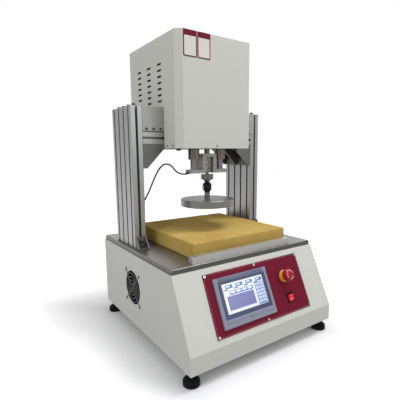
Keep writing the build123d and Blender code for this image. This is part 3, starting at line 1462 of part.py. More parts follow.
def touchscreen_bezel():
    """Moulded front of the touchscreen, with a rebate for the glass."""
    bezel = Box(SCREEN_WIDTH, SCREEN_HEIGHT, SCREEN_PROUD, align=FROM_BELOW)
    bezel = chamfer(bezel.faces().sort_by(Axis.Z)[-1].edges(), SCREEN_BEZEL_CHAMFER)
    seat = SCREEN_PROUD - GLASS_SUNK - GLASS_THICKNESS
    bezel -= Pos(0, 0, seat) * Box(
        GLASS_WIDTH + GLASS_PLAY, GLASS_HEIGHT + GLASS_PLAY, SCREEN_PROUD, align=FROM_BELOW
    )
    return on_panel(SCREEN_X, SCREEN_DOWN, PANEL_THICKNESS) * bezel


def touchscreen_glass():
    """Glass front of the display."""
    seat = PANEL_THICKNESS + SCREEN_PROUD - GLASS_SUNK - GLASS_THICKNESS
    glass = Box(GLASS_WIDTH, GLASS_HEIGHT, GLASS_THICKNESS, align=FROM_BELOW)
    return on_panel(SCREEN_X, SCREEN_DOWN, seat) * glass


def touchscreen_body():
    """Rear housing of the touchscreen, through the panel."""
    depth = SCREEN_BODY_DEPTH + PANEL_THICKNESS
    body = Box(SCREEN_BODY_WIDTH, SCREEN_BODY_HEIGHT, depth, align=FROM_BELOW)
    body = chamfer(body.faces().sort_by(Axis.Z)[0].edges(), SCREEN_PROUD)
    return on_panel(SCREEN_X, SCREEN_DOWN, -SCREEN_BODY_DEPTH) * body


def estop_collar():
    """Collar of the emergency stop, with its threaded barrel through the panel."""
    collar = Cylinder(ESTOP_COLLAR_RADIUS, ESTOP_COLLAR_HEIGHT, align=FROM_BELOW)
    rim = collar.faces().sort_by(Axis.Z)[-1].edges()
    collar = chamfer(rim, ESTOP_COLLAR_HEIGHT / 2, ESTOP_COLLAR_RADIUS - ESTOP_COLLAR_TOP_RADIUS)
    barrel = PANEL_THICKNESS + SHEET
    collar += Pos(0, 0, -barrel) * Cylinder(ESTOP_HOLE_RADIUS - HOLE_PLAY, barrel, align=FROM_BELOW)
    collar -= Cylinder(ESTOP_STEM_RADIUS + RUNNING_PLAY, 4 * ESTOP_BLOCK_DEPTH)
    return on_panel(ESTOP_X, ESTOP_DOWN, PANEL_THICKNESS) * collar


def estop_contact_block():
    """Contact block behind the panel that the emergency stop's stem works."""
    body = Box(ESTOP_BLOCK_SIZE, ESTOP_BLOCK_SIZE, ESTOP_BLOCK_DEPTH, align=FROM_BELOW)
    body -= Pos(0, 0, ESTOP_BLOCK_DEPTH - ESTOP_STEM_DEPTH - ESTOP_TRAVEL_GAP) * Cylinder(
        ESTOP_STEM_RADIUS + RUNNING_PLAY, ESTOP_BLOCK_DEPTH, align=FROM_BELOW
    )
    return on_panel(ESTOP_X, ESTOP_DOWN, -SHEET - ESTOP_BLOCK_DEPTH) * body


def knob_bottom():
    """Height of the emergency stop knob's underside above the panel plate."""
    return ESTOP_COLLAR_HEIGHT + ESTOP_TRAVEL_GAP


def estop_stem():
    """Stem of the emergency stop that slides in when the knob is pushed."""
    low = -PANEL_THICKNESS - SHEET - ESTOP_STEM_DEPTH
    high = knob_bottom() + ESTOP_NECK_HEIGHT + ESTOP_KNOB_RIM / 2
    stem = Pos(0, 0, low) * Cylinder(ESTOP_STEM_RADIUS, high - low, align=FROM_BELOW)
    return on_panel(ESTOP_X, ESTOP_DOWN, PANEL_THICKNESS) * stem


def estop_knob():
    """Mushroom knob of the emergency stop, which turns on the stem to release it."""
    neck = knob_bottom()
    rim = neck + ESTOP_NECK_HEIGHT
    crown = rim + ESTOP_KNOB_RIM
    top = crown + ESTOP_KNOB_DOME
    shoulder = (crown + top) / 2
    outline = [
        (0, neck),
        (ESTOP_NECK_RADIUS, neck),
        (ESTOP_NECK_RADIUS, rim),
        (ESTOP_KNOB_RADIUS, rim),
        (ESTOP_KNOB_RADIUS, crown),
        (ESTOP_KNOB_RADIUS - ESTOP_KNOB_DOME / 2, shoulder),
        (ESTOP_NECK_RADIUS, top),
        (0, top),
    ]
    knob = turned(outline)
    knob -= Pos(0, 0, neck - 1) * Cylinder(
        ESTOP_STEM_RADIUS + RUNNING_PLAY, ESTOP_NECK_HEIGHT + ESTOP_KNOB_RIM / 2 + 1 + RUNNING_PLAY,
        align=FROM_BELOW
    )
    return on_panel(ESTOP_X, ESTOP_DOWN, PANEL_THICKNESS) * knob


def switch_bezel():
    """Rim and open box of the rocker switch."""
    outer_width = SWITCH_OPENING_WIDTH + 2 * SWITCH_WALL
    outer_height = SWITCH_OPENING_HEIGHT + 2 * SWITCH_WALL
    body = Box(SWITCH_WIDTH, SWITCH_HEIGHT, SWITCH_BEZEL, align=FROM_BELOW)
    body += Pos(0, 0, -SWITCH_DEPTH) * Box(outer_width, outer_height, SWITCH_DEPTH, align=FROM_BELOW)
    floor = -SWITCH_DEPTH + SWITCH_WALL
    body -= Pos(0, 0, floor) * Box(
        SWITCH_OPENING_WIDTH, SWITCH_OPENING_HEIGHT, SWITCH_DEPTH + SWITCH_BEZEL, align=FROM_BELOW
    )
    pin = SWITCH_OPENING_WIDTH / 2 + ROCKER_PIN_REACH + HOLE_PLAY
    bore = Rot(0, 90, 0) * Cylinder(ROCKER_PIN_RADIUS + RUNNING_PLAY, 2 * pin)
    body -= Pos(0, 0, -ROCKER_PIVOT_DEPTH) * bore
    return on_panel(SWITCH_X, SWITCH_DOWN, PANEL_THICKNESS) * body


def switch_rocker():
    """Rocker on its pivot pins, tilted as when the power is on."""
    half = ROCKER_LENGTH / 2
    rise = ROCKER_PIVOT_DEPTH + 2 * SWITCH_BEZEL
    outline = [
        (-half, rise),
        (0, rise - SWITCH_BEZEL / 2),
        (half, rise),
        (half - 1, SWITCH_BEZEL / 2),
        (half / 2, -ROCKER_PIVOT_DEPTH * 2),
        (-half / 2, -ROCKER_PIVOT_DEPTH * 2),
        (-half + 1, SWITCH_BEZEL / 2),
    ]
    face = make_face(Plane.YZ * Polyline(*outline, close=True))
    rocker = extrude(face, ROCKER_WIDTH / 2, both=True)
    pin = SWITCH_OPENING_WIDTH / 2 + ROCKER_PIN_REACH
    rocker += Rot(0, 90, 0) * Cylinder(ROCKER_PIN_RADIUS, 2 * pin)
    rocker = Rot(ROCKER_TILT, 0, 0) * rocker
    return on_panel(SWITCH_X, SWITCH_DOWN, PANEL_THICKNESS - ROCKER_PIVOT_DEPTH) * rocker


def fan_location():
    """Fan's own frame: its axis along Z pointing into the cabinet, from the wall's inner face."""
    return Plane(origin=(-SIDE + SHEET, FAN_Y, FAN_Z), x_dir=(0, 1, 0), z_dir=(1, 0, 0)).location


def fan_frame():
    """Square fan frame with its struts and the stator in the middle."""
    half = FAN_HOLE_PITCH / 2
    plan = RectangleRounded(FAN_SIZE, FAN_SIZE, FAN_CORNER) - Circle(FAN_BORE_RADIUS)
    plan -= [Pos(a * half, b * half) * Circle(M5_SHANK + HOLE_PLAY) for a in (-1, 1) for b in (-1, 1)]
    frame = extrude(plan, FAN_DEPTH)
    strut = Box(2 * FAN_BORE_RADIUS + 1, FAN_STRUT_WIDTH, FAN_STATOR_DEPTH, align=FROM_BELOW)
    back = Pos(0, 0, FAN_DEPTH - FAN_STATOR_DEPTH)
    frame += [back * Rot(0, 0, angle) * strut for angle in (0, 90)]
    frame += back * Cylinder(FAN_HUB_RADIUS, FAN_STATOR_DEPTH, align=FROM_BELOW)
    frame -= Cylinder(FAN_SHAFT_RADIUS + RUNNING_PLAY, FAN_DEPTH - SHEET, align=FROM_BELOW)
    return fan_location() * frame


def fan_blade():
    """One blade, twisted from its root to its tip."""
    root = Plane(origin=(FAN_HUB_RADIUS - 1, 0, 0), x_dir=(0, 1, 0), z_dir=(1, 0, 0))
    tip = Plane(origin=(FAN_BLADE_TIP, 0, 0), x_dir=(0, 1, 0), z_dir=(1, 0, 0))
    section = Rectangle(FAN_BLADE_CHORD, FAN_BLADE_THICKNESS)
    inner = root * Rot(0, 0, FAN_BLADE_ROOT_PITCH) * section
    outer = tip * Rot(0, 0, FAN_BLADE_TIP_PITCH) * section
    return loft([inner, outer], ruled=True)


def fan_rotor():
    """Hub and blades of the fan."""
    front = FAN_DEPTH - FAN_STATOR_DEPTH - FAN_HUB_DEPTH - 1
    hub = Pos(0, 0, front) * Cylinder(FAN_HUB_RADIUS, FAN_HUB_DEPTH, align=FROM_BELOW)
    hub += Pos(0, 0, front + 1) * Cylinder(
        FAN_SHAFT_RADIUS, FAN_HUB_DEPTH + SHEET, align=FROM_BELOW
    )
    middle = Pos(0, 0, front + FAN_HUB_DEPTH / 2)
    blade = fan_blade()
    hub += [middle * Rot(0, 0, 360 * i / FAN_BLADES) * blade for i in range(FAN_BLADES)]
    return fan_location() * hub


def fan_guard():
    """Finger guard outside the wall: rings on two crossed arms with screw eyes."""
    reach = FAN_HOLE_PITCH / math.sqrt(2)
    plan = Sketch()
    for radius in GUARD_RINGS:
        outer = RegularPolygon(radius + GUARD_WIRE / 2, GUARD_SIDES)
        plan += outer - RegularPolygon(radius - GUARD_WIRE / 2, GUARD_SIDES)
    plan += [Rot(0, 0, angle) * Rectangle(2 * reach, GUARD_WIRE) for angle in (45, 135)]
    eye_places = [Rot(0, 0, 45 + 90 * i) * Pos(reach, 0) for i in range(4)]
    plan += [place * Circle(GUARD_EYE_RADIUS) for place in eye_places]
    plan -= [place * Circle(M5_SHANK + HOLE_PLAY) for place in eye_places]
    guard = extrude(plan, GUARD_WIRE)
    return fan_location() * Pos(0, 0, -SHEET - GUARD_WIRE) * guard


def fan_screws():
    """Screws through the guard's eyes and the wall into the fan."""
    return [
        screw((-SIDE - GUARD_WIRE, y, z), (1, 0, 0), M5_SHANK, FAN_DEPTH / 2, M5_HEAD_RADIUS,
              M5_HEAD_HEIGHT)
        for y, z in fan_screw_places()
    ]


def standing(size, place):
    """Box that stands on the floor plate."""
    width, depth, height = size
    return Pos(*place, FLOOR_TOP) * Box(width, depth, height, align=FROM_BELOW)


def power_supply():
    """Switched power supply with its terminal step."""
    width, depth, height = SUPPLY_SIZE
    body = standing(SUPPLY_SIZE, SUPPLY_AT)
    step = depth / 12
    x, y = SUPPLY_AT
    return body - block(
        (x - width, x + width),
        (y - depth / 2 - 1, y - depth / 2 + step),
        (FLOOR_TOP + height / 2, FLOOR_TOP + height + 1),
    )


def servo_drive():
    """Servo drive with the fins of its heat sink."""
    width, depth, height = DRIVE_SIZE
    x, y = DRIVE_AT
    pitch = depth / DRIVE_FINS
    gaps = [
        block(
            (x - width / 2 - 1, x - width / 2 + DRIVE_FIN_DEPTH),
            (y - depth / 2 + pitch * (i + 0.5), y - depth / 2 + pitch * (i + 0.9)),
            (FLOOR_TOP - 1, FLOOR_TOP + height + 1),
        )
        for i in range(DRIVE_FINS)
    ]
    return standing(DRIVE_SIZE, DRIVE_AT) - gaps


def controller():
    """Measuring and control unit behind the panel."""
    body = standing(CONTROLLER_SIZE, CONTROLLER_AT)
    return chamfer(body.edges().filter_by(Axis.Z), SHEET)


def cable_radii(points):
    """Arc radius at each inner point of the cable's route."""
    radii = []
    for before, here, after in zip(points, points[1:], points[2:]):
        first, second = Vector(*here) - Vector(*before), Vector(*after) - Vector(*here)
        turn = math.radians(first.get_angle(second))
        radii.append(0.45 * min(first.length, second.length) / math.tan(turn / 2))
    return radii


def load_cell_cable():
    """Cable from the load cell to the clip on the left column."""
    radii = cable_radii(CABLE_ROUTE)
    path = FilletPolyline(*CABLE_ROUTE, radius=radii)
    section = Plane(origin=path @ 0, z_dir=path % 0) * Circle(CABLE_RADIUS)
    cable = sweep(section, path)
    print("cable length", round(path.length, 1), "tightest radius", round(min(radii), 1))
    return cable - clip_body()


def clip_body():
    """Outside of the cable clip, in front of the column's inner face."""
    y, z = CABLE_ROUTE[-1][1:]
    face = -COLUMN_INNER
    half_width, half_length = CLIP_WIDTH / 2, CLIP_LENGTH / 2
    return block(
        (face, face + CLIP_PROUD), (y - half_width, y + half_width), (z - half_length, z + half_length)
    )


def cable_clip():
    """Clip in the left column's first inner slot that takes the cable's end."""
    y, z = CABLE_ROUTE[-1][1:]
    face = -COLUMN_INNER
    half_width, half_length = SLOT_OPENING / 2 - HOLE_PLAY, CLIP_LENGTH / 2
    tongue = block(
        (face - CLIP_TONGUE, face), (y - half_width, y + half_width), (z - half_length, z + half_length)
    )
    return clip_body() + tongue


NODES = {
    "base_cabinet": (base_cabinet,),
    "base_covers": (base_floor, rear_cover),
    "cover_screws": (rear_cover_screws, housing_screws),
    "power_inlet": (power_inlet,),
    "levelling_feet": (levelling_feet,),
    "foot_stems": (foot_stems, foot_nuts),
    "top_plate": (top_plate,),
    "plate_screws": (plate_screws, fence_screws),
    "fence_bar": (fence_bar,),
    "foam_specimen": (foam_specimen,),
    "left_column": (left_column,),
    "right_column": (right_column,),
    "crossbeam": (crossbeam,),
    "column_screws": (column_end_screws, column_base_screws),
    "foot_brackets": (foot_brackets,),
    "gussets": (left_gusset, right_gusset),
    "frame_screws": (foot_bracket_screws, gusset_screws, head_plate_screws),
    "tie_plate": (tie_plate, tie_bars),
    "tie_plate_screws": (tie_plate_screws,),
    "head_housing": (head_housing,),
    "head_rear_cover": (head_rear_cover,),
    "head_plate": (head_plate, head_ribs),
    "guide_bushings": (left_guide_bushing, right_guide_bushing),
    "guide_rods": (guide_rods,),
    "crosshead_bracket": (crosshead_bracket,),
    "load_cell": (load_cell,),
    "load_cell_cable": (load_cell_cable,),
    "cable_clip": (cable_clip,),
    "push_tube": (push_tube,),
    "spindle_adapter": (spindle_adapter,),
    "indenter_coupling": (indenter_coupling,),
    "coupling_screw": (coupling_screw,),
    "indenter_rod": (indenter_rod,),
    "indenter_disc": (indenter_disc,),
    "carriage": (carriage,),
    "ball_nut": (ball_nut,),
    "ball_screw": (ball_screw, screw_pulley),
    "drive_frame": (bearing_block, back_plate, motor_plate),
    "servo_motor": (servo_motor,),
    "motor_shaft": (motor_shaft, motor_pulley),
    "drive_belt": (drive_belt,),
    "control_panel": (control_panel,),
    "panel_screws": (panel_screws,),
    "touchscreen_housing": (touchscreen_bezel, touchscreen_body),
    "touchscreen_glass": (touchscreen_glass,),
    "estop_collar": (estop_collar,),
    "estop_contact_block": (estop_contact_block,),
    "estop_stem": (estop_stem,),
    "estop_knob": (estop_knob,),
    "switch_bezel": (switch_bezel,),
    "switch_rocker": (switch_rocker,),
    "fan_frame": (fan_frame,),
    "fan_rotor": (fan_rotor,),
    "fan_guard": (fan_guard,),
    "fan_screws": (fan_screws,),
    "power_supply": (power_supply,),
    "servo_drive": (servo_drive,),
    "controller": (controller,),
}


def solids_of(shape):
    """Solids in a shape or in a list of shapes."""
    shapes = shape if isinstance(shape, list) else [shape]
    return [solid for one in shapes for solid in one.solids()]


def main():
    """Write each node's solids to its own file."""
    os.makedirs("parts", exist_ok=True)
    for name, builders in NODES.items():
        solids = [solid for build in builders for solid in solids_of(build())]
        export_step(Compound(children=solids), f"parts/{name}.step")


main()
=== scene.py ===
"""Finishes, soft pieces and studio picture of a foam indentation hardness tester.

Lengths are in metres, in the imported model's own frame: X to the right of the
machine, Y to its rear, and Z up from the floor that its feet stand on. Sizes in
the classes below are in metres too, and colours are 8-bit display values.
"""

import logging
import math
from dataclasses import dataclass, field
from enum import Enum
from functools import cache
from typing import Any, Optional, Sequence

import bmesh
import bpy
from mathutils import Matrix, Vector, noise


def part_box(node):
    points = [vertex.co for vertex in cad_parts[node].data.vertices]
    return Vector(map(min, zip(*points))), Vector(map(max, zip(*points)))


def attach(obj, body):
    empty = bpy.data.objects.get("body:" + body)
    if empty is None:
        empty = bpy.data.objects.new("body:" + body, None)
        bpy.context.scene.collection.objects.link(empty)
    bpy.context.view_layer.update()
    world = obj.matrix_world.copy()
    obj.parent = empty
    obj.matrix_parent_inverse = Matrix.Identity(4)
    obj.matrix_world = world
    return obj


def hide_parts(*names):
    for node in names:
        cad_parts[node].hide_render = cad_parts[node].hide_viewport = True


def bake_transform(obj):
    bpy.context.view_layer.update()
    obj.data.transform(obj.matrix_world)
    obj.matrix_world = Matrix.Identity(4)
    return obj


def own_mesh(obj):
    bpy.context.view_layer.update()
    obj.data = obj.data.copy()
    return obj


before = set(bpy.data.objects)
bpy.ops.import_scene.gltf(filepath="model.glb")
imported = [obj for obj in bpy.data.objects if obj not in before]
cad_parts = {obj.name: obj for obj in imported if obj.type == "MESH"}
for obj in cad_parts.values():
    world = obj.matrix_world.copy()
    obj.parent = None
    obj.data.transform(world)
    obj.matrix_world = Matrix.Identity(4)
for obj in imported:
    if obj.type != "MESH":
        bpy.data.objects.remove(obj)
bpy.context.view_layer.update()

LOG = logging.getLogger("tester")
IMAGE_SIDE = 400
Colour = tuple[int, int, int]
Node = bpy.types.Node
Socket = bpy.types.NodeSocket
Tree = bpy.types.NodeTree
Object = bpy.types.Object


class Along(Enum):
    """The direction that a metal's grain or a saw's marks run in."""

    X = (0.02, 1.0, 1.0)
    Y = (1.0, 0.02, 1.0)
    Z = (1.0, 1.0, 0.02)
    NONE = (1.0, 1.0, 1.0)


def linear(colour: Colour) -> tuple[float, float, float, float]:
    """Turn a display colour into the linear one that a shader socket takes.

    Args:
        colour: Red, green and blue from 0 to 255.

    Returns:
        Linear red, green and blue with an alpha of 1.
    """
    parts = [part / 255 for part in colour]
    curve = [p / 12.92 if p <= 0.04045 else ((p + 0.055) / 1.055) ** 2.4 for p in parts]
    return (curve[0], curve[1], curve[2], 1.0)


class Bench:
    """Adds nodes to one node tree and wires them together."""

    def __init__(self, tree: Tree) -> None:
        """Keep the tree that the nodes go into."""
        self.tree = tree

    def add(self, kind: str, inputs: Optional[dict] = None, **settings: Any) -> Node:
        """Add one node.

        Args:
            kind: Type name of the node.
            inputs: Values or source sockets for the node's inputs, by name or index.
            **settings: Properties to set on the node.

        Returns:
            The new node.
        """
        node = self.tree.nodes.new(kind)
        for name, value in settings.items():
            setattr(node, name, value)
        for name, value in (inputs or {}).items():
            self.join(value, node, name)
        return node

    def join(self, value: Any, node: Node, socket: Any) -> None:
        """Wire a source socket into a node's input, or give that input a plain value."""
        if isinstance(value, Socket):
            self.tree.links.new(value, node.inputs[socket])
        else:
            node.inputs[socket].default_value = value

    def maths(self, operation: str, first: Any, second: Any = 0.0) -> Socket:
        """Return the result of a Math node on two values or sockets."""
        return self.add("ShaderNodeMath", {0: first, 1: second}, operation=operation).outputs[0]

    def plus(self, first: Any, second: Any) -> Socket:
        """Return the sum of two values or sockets."""
        return self.maths("ADD", first, second)

    def minus(self, first: Any, second: Any) -> Socket:
        """Return the first value or socket less the second."""
        return self.maths("SUBTRACT", first, second)

    def times(self, first: Any, second: Any) -> Socket:
        """Return the product of two values or sockets."""
        return self.maths("MULTIPLY", first, second)

    def larger(self, first: Any, second: Any) -> Socket:
        """Return the larger of two values or sockets."""
        return self.maths("MAXIMUM", first, second)

    def dot(self, first: Any, second: Any) -> Socket:
        """Return the dot product of two vectors."""
        return self.add(
            "ShaderNodeVectorMath", {0: first, 1: second}, operation="DOT_PRODUCT"
        ).outputs["Value"]

    def scaled(self, vector: Any, gain: Any) -> Socket:
        """Return a vector or colour times a number."""
        return self.add("ShaderNodeVectorMath", {0: vector, "Scale": gain}, operation="SCALE").outputs[0]

    def spread(self, value: Any, low: Any, high: Any, new_low: float, new_high: float) -> Socket:
        """Return a value moved from one range to another, clamped to the new one."""
        ranges = {"Value": value, "From Min": low, "From Max": high, "To Min": new_low, "To Max": new_high}
        return self.add("ShaderNodeMapRange", ranges).outputs["Result"]

    def blend(self, share: Any, first: Any, second: Any) -> Socket:
        """Return two colours mixed by a share."""
        return self.add("ShaderNodeMix", {0: share, 6: first, 7: second}, data_type="RGBA").outputs[2]

    def grain(self, place: Any, scale: Any, detail: float = 2.0, roughness: float = 0.5) -> Socket:
        """Return the value of a noise texture read at a place."""
        inputs = {"Vector": place, "Scale": scale, "Detail": detail, "Roughness": roughness}
        return self.add("ShaderNodeTexNoise", inputs).outputs[0]

    def place(self) -> Socket:
        """Return the object coordinates, which are the machine's own metres."""
        return self.add("ShaderNodeTexCoord").outputs["Object"]


class Groups:
    """The shader node groups that several finishes share, each built once."""

    def open(self, name: str, inputs: Sequence[tuple], outputs: Sequence[tuple]) -> tuple:
        """Start a group with its named sockets.

        Args:
            name: Name of the group.
            inputs: Name, socket type and default value of each input.
            outputs: Name and socket type of each output.

        Returns:
            The bench for its nodes, the sockets of its input node, and its output node.
        """
        tree = bpy.data.node_groups.new(name, "ShaderNodeTree")
        for label, kind, default in inputs:
            socket = tree.interface.new_socket(label, in_out="INPUT", socket_type=kind)
            socket.default_value = default
        for label, kind in outputs:
            tree.interface.new_socket(label, in_out="OUTPUT", socket_type=kind)
        bench = Bench(tree)
        return bench, bench.add("NodeGroupInput").outputs, bench.add("NodeGroupOutput")

    @cache
    def soft_edges(self) -> Tree:
        """Edge rounding and edge wear.

        Returns:
            The group, with a Normal that rounds sharp edges and a Wear mask along them.
        """
        inputs = [("Radius", "NodeSocketFloat", 0.0006), ("Breakup", "NodeSocketFloat", 220.0)]
        bench, given, out = self.open(
            "soft_edges", inputs, [("Normal", "NodeSocketVector"), ("Wear", "NodeSocketFloat")]
        )
        bevel = bench.add("ShaderNodeBevel", {"Radius": given["Radius"]}, samples=4)
        flat = bench.add("ShaderNodeNewGeometry").outputs["Normal"]
        angle = bench.dot(bevel.outputs[0], flat)
        edge = bench.spread(angle, 0.99, 0.85, 0.0, 1.0)
        patches = bench.spread(bench.grain(bench.place(), given["Breakup"]), 0.45, 0.65, 0.15, 1.0)
        bench.join(bevel.outputs[0], out, "Normal")
        bench.join(bench.times(edge, patches), out, "Wear")
        return bench.tree

    @cache
    def tone(self) -> Tree:
        """Slow and fine random changes of shade, and painted shade in corners and recesses.

        Returns:
            The group, which varies a colour at random and darkens it with painted shade in corners.
        """
        inputs = [
            ("Colour", "NodeSocketColor", (0.5, 0.5, 0.5, 1)),
            ("Dirt Colour", "NodeSocketColor", (0.1, 0.09, 0.07, 1)),
            ("Shade", "NodeSocketFloat", 0.06), ("Scale", "NodeSocketFloat", 7.0),
            ("Dirt", "NodeSocketFloat", 0.25), ("Reach", "NodeSocketFloat", 0.006),
        ]
        bench, given, out = self.open(
            "tone", inputs, [("Colour", "NodeSocketColor"), ("Smudge", "NodeSocketFloat")]
        )
        place = bench.place()
        slow = bench.grain(place, given["Scale"], detail=4.0, roughness=0.6)
        fine = bench.grain(place, bench.times(given["Scale"], 38.0), detail=2.0)
        swing = bench.times(bench.minus(slow, 0.5), given["Shade"])
        swing = bench.plus(swing, bench.times(bench.minus(fine, 0.5), bench.times(given["Shade"], 0.5)))
        gain = bench.plus(swing, 1.0)
        shaded = bench.scaled(given["Colour"], gain)
        # Painted shade: the colour darkens towards the shade colour where ambient occlusion finds nearby
        # surfaces, in corners, slots and recesses.
        corner = bench.add(
            "ShaderNodeAmbientOcclusion", {"Distance": given["Reach"]}, samples=6
        ).outputs["AO"]
        painted_corner_shade = bench.times(bench.minus(1.0, corner), given["Dirt"])
        bench.join(bench.blend(painted_corner_shade, shaded, given["Dirt Colour"]), out, "Colour")
        bench.join(bench.spread(slow, 0.35, 0.7, 0.0, 1.0), out, "Smudge")
        return bench.tree

    @cache
    def peel(self) -> Tree:
        """The low bumps of powder coat, cast or moulded skins.

        Returns:
            The group, with a Height of small rounded bumps over broad waves.
        """
        inputs = [("Scale", "NodeSocketFloat", 700.0), ("Waves", "NodeSocketFloat", 0.4)]
        bench, given, out = self.open("peel", inputs, [("Height", "NodeSocketFloat")])
        place = bench.place()
        bumps = bench.grain(place, given["Scale"], detail=1.0)
        broad = bench.grain(place, bench.times(given["Scale"], 0.08), detail=1.0)
        height = bench.plus(bumps, bench.times(broad, given["Waves"]))
        bench.join(height, out, "Height")
        return bench.tree

    @cache
    def streaks(self) -> Tree:
        """Fine lines in one direction, as drawing, brushing or milling leaves them.

        Returns:
            The group, with Lines from 0 to 1 and a few deeper Scratches.
        """
        inputs = [("Stretch", "NodeSocketVector", (1, 1, 1)), ("Scale", "NodeSocketFloat", 900.0)]
        bench, given, out = self.open(
            "streaks", inputs, [("Lines", "NodeSocketFloat"), ("Scratches", "NodeSocketFloat")]
        )
        drawn = bench.add(
            "ShaderNodeVectorMath", {0: bench.place(), 1: given["Stretch"]}, operation="MULTIPLY"
        ).outputs[0]
        lines = bench.grain(drawn, given["Scale"], detail=3.0, roughness=0.65)
        coarse = bench.grain(drawn, bench.times(given["Scale"], 0.22), detail=2.0)
        bench.join(bench.spread(lines, 0.25, 0.75, 0.0, 1.0), out, "Lines")
        bench.join(bench.spread(coarse, 0.62, 0.72, 0.0, 1.0), out, "Scratches")
        return bench.tree

    @cache
    def facing(self) -> Tree:
        """Which way a face points.

        Returns:
            The group, with an Upright mask that is 1 on walls and 0 on level faces.
        """
        bench, given, out = self.open(
            "facing", [("Softness", "NodeSocketFloat", 0.1)], [("Upright", "NodeSocketFloat")]
        )
        normal = bench.add("ShaderNodeNewGeometry").outputs["Normal"]
        rise = bench.maths("ABSOLUTE", bench.add("ShaderNodeSeparateXYZ", {0: normal}).outputs["Z"])
        low = bench.minus(0.5, given["Softness"])
        high = bench.plus(0.5, given["Softness"])
        bench.join(bench.spread(rise, low, high, 1.0, 0.0), out, "Upright")
        return bench.tree

    @cache
    def cells(self) -> Tree:
        """Open cells of polyurethane foam, in two sizes.

        Returns:
            The group, with a Height, a mask of dark Pores and a slow Tint.
        """
        inputs = [("Scale", "NodeSocketFloat", 700.0)]
        outputs = [("Height", "NodeSocketFloat"), ("Pores", "NodeSocketFloat"), ("Tint", "NodeSocketFloat")]
        bench, given, out = self.open("cells", inputs, outputs)
        place = bench.place()
        small = bench.add(
            "ShaderNodeTexVoronoi", {"Vector": place, "Scale": given["Scale"]}
        ).outputs["Distance"]
        large = bench.add(
            "ShaderNodeTexVoronoi", {"Vector": place, "Scale": bench.times(given["Scale"], 0.35)}
        ).outputs["Distance"]
        pits = bench.spread(large, 0.0, 0.22, 1.0, 0.0)
        height = bench.minus(small, bench.times(pits, 0.8))
        bench.join(height, out, "Height")
        bench.join(bench.plus(bench.spread(small, 0.05, 0.35, 0.55, 0.0), pits), out, "Pores")
        bench.join(bench.grain(place, 9.0, detail=5.0, roughness=0.62), out, "Tint")
        return bench.tree


GROUPS = Groups()


@dataclass(frozen=True)
class Finish:
    """What every finish has: a name, a colour and the shader's own plain values."""

    name: str
    colour: Colour
    roughness: float = 0.5
    metallic: float = 0.0
    coat: float = 0.0
    specular: float = 0.5

    def build(self) -> bpy.types.Material:
        """Make the material, or return it where it exists already.

        Returns:
            The finished material.
        """
        title = f"{self.name}_finish"
        found = bpy.data.materials.get(title)
        if found:
            return found
        material = bpy.data.materials.new(title)
        material.use_nodes = True
        material.diffuse_color = linear(self.colour)
        bench = Bench(material.node_tree)
        shader = material.node_tree.nodes["Principled BSDF"]
        plain = {
            "Base Color": linear(self.colour), "Roughness": self.roughness, "Metallic": self.metallic,
            "Coat Weight": self.coat, "Coat Roughness": 0.12, "Specular IOR Level": self.specular,
        }
        for socket, value in plain.items():
            shader.inputs[socket].default_value = value
        self.wire(bench, shader)
        return material

    def wire(self, bench: Bench, shader: Node) -> None:
        """Wire the finish's own texture nodes into the shader."""
        raise NotImplementedError

    def group(self, bench: Bench, tree: Tree, **inputs: Any) -> Node:
        """Place a shared group in this material.

        Args:
            bench: Bench of the material.
            tree: The group to place.
            **inputs: Values or sockets of its inputs, with _ for a space.

        Returns:
            The group's node.
        """
        named = {name.replace("_", " "): value for name, value in inputs.items()}
        return bench.add("ShaderNodeGroup", named, node_tree=tree)

    def relief(self, bench: Bench, shader: Node, height: Any, depth: float, radius: float = 0.0006) -> Any:
        """Bump the surface over rounded edges.

        Args:
            bench: Bench of the material.
            shader: Its Principled shader.
            height: Socket of the height.
            depth: Depth of the relief, in metres.
            radius: Radius of the rounded edges, in metres.

        Returns:
            The mask of worn edges.
        """
        edges = self.group(bench, GROUPS.soft_edges(), Radius=radius)
        inputs = {"Height": height, "Distance": depth, "Strength": 1.0, "Normal": edges.outputs["Normal"]}
        bump = bench.add("ShaderNodeBump", inputs)
        bench.join(bump.outputs[0], shader, "Normal")
        return edges.outputs["Wear"]


@dataclass(frozen=True)
class Paint(Finish):
    """Powder coat or enamel on sheet metal, with orange peel and rubbed edges."""

    worn: Colour = (235, 235, 228)
    peel_scale: float = 620.0
    peel_depth: float = 0.00004
    shade: float = 0.05
    # Strength of the painted shade that darkens corners.
    corner_shade: float = 0.35

    def wire(self, bench: Bench, shader: Node) -> None:
        """Wire random shade, painted shade in corners, rubbed edges and orange peel."""
        peel = self.group(bench, GROUPS.peel(), Scale=self.peel_scale)
        wear = self.relief(bench, shader, peel.outputs["Height"], self.peel_depth, 0.0009)
        # The tone group darkens corners and recesses with painted shade.
        tone = self.group(
            bench, GROUPS.tone(), Colour=linear(self.colour), Shade=self.shade, Dirt=self.corner_shade
        )
        rubbed = bench.blend(bench.times(wear, 0.5), tone.outputs["Colour"], linear(self.worn))
        bench.join(rubbed, shader, "Base Color")
        gloss = bench.spread(tone.outputs["Smudge"], 0.0, 1.0, self.roughness - 0.05, self.roughness + 0.07)
        bench.join(gloss, shader, "Roughness")


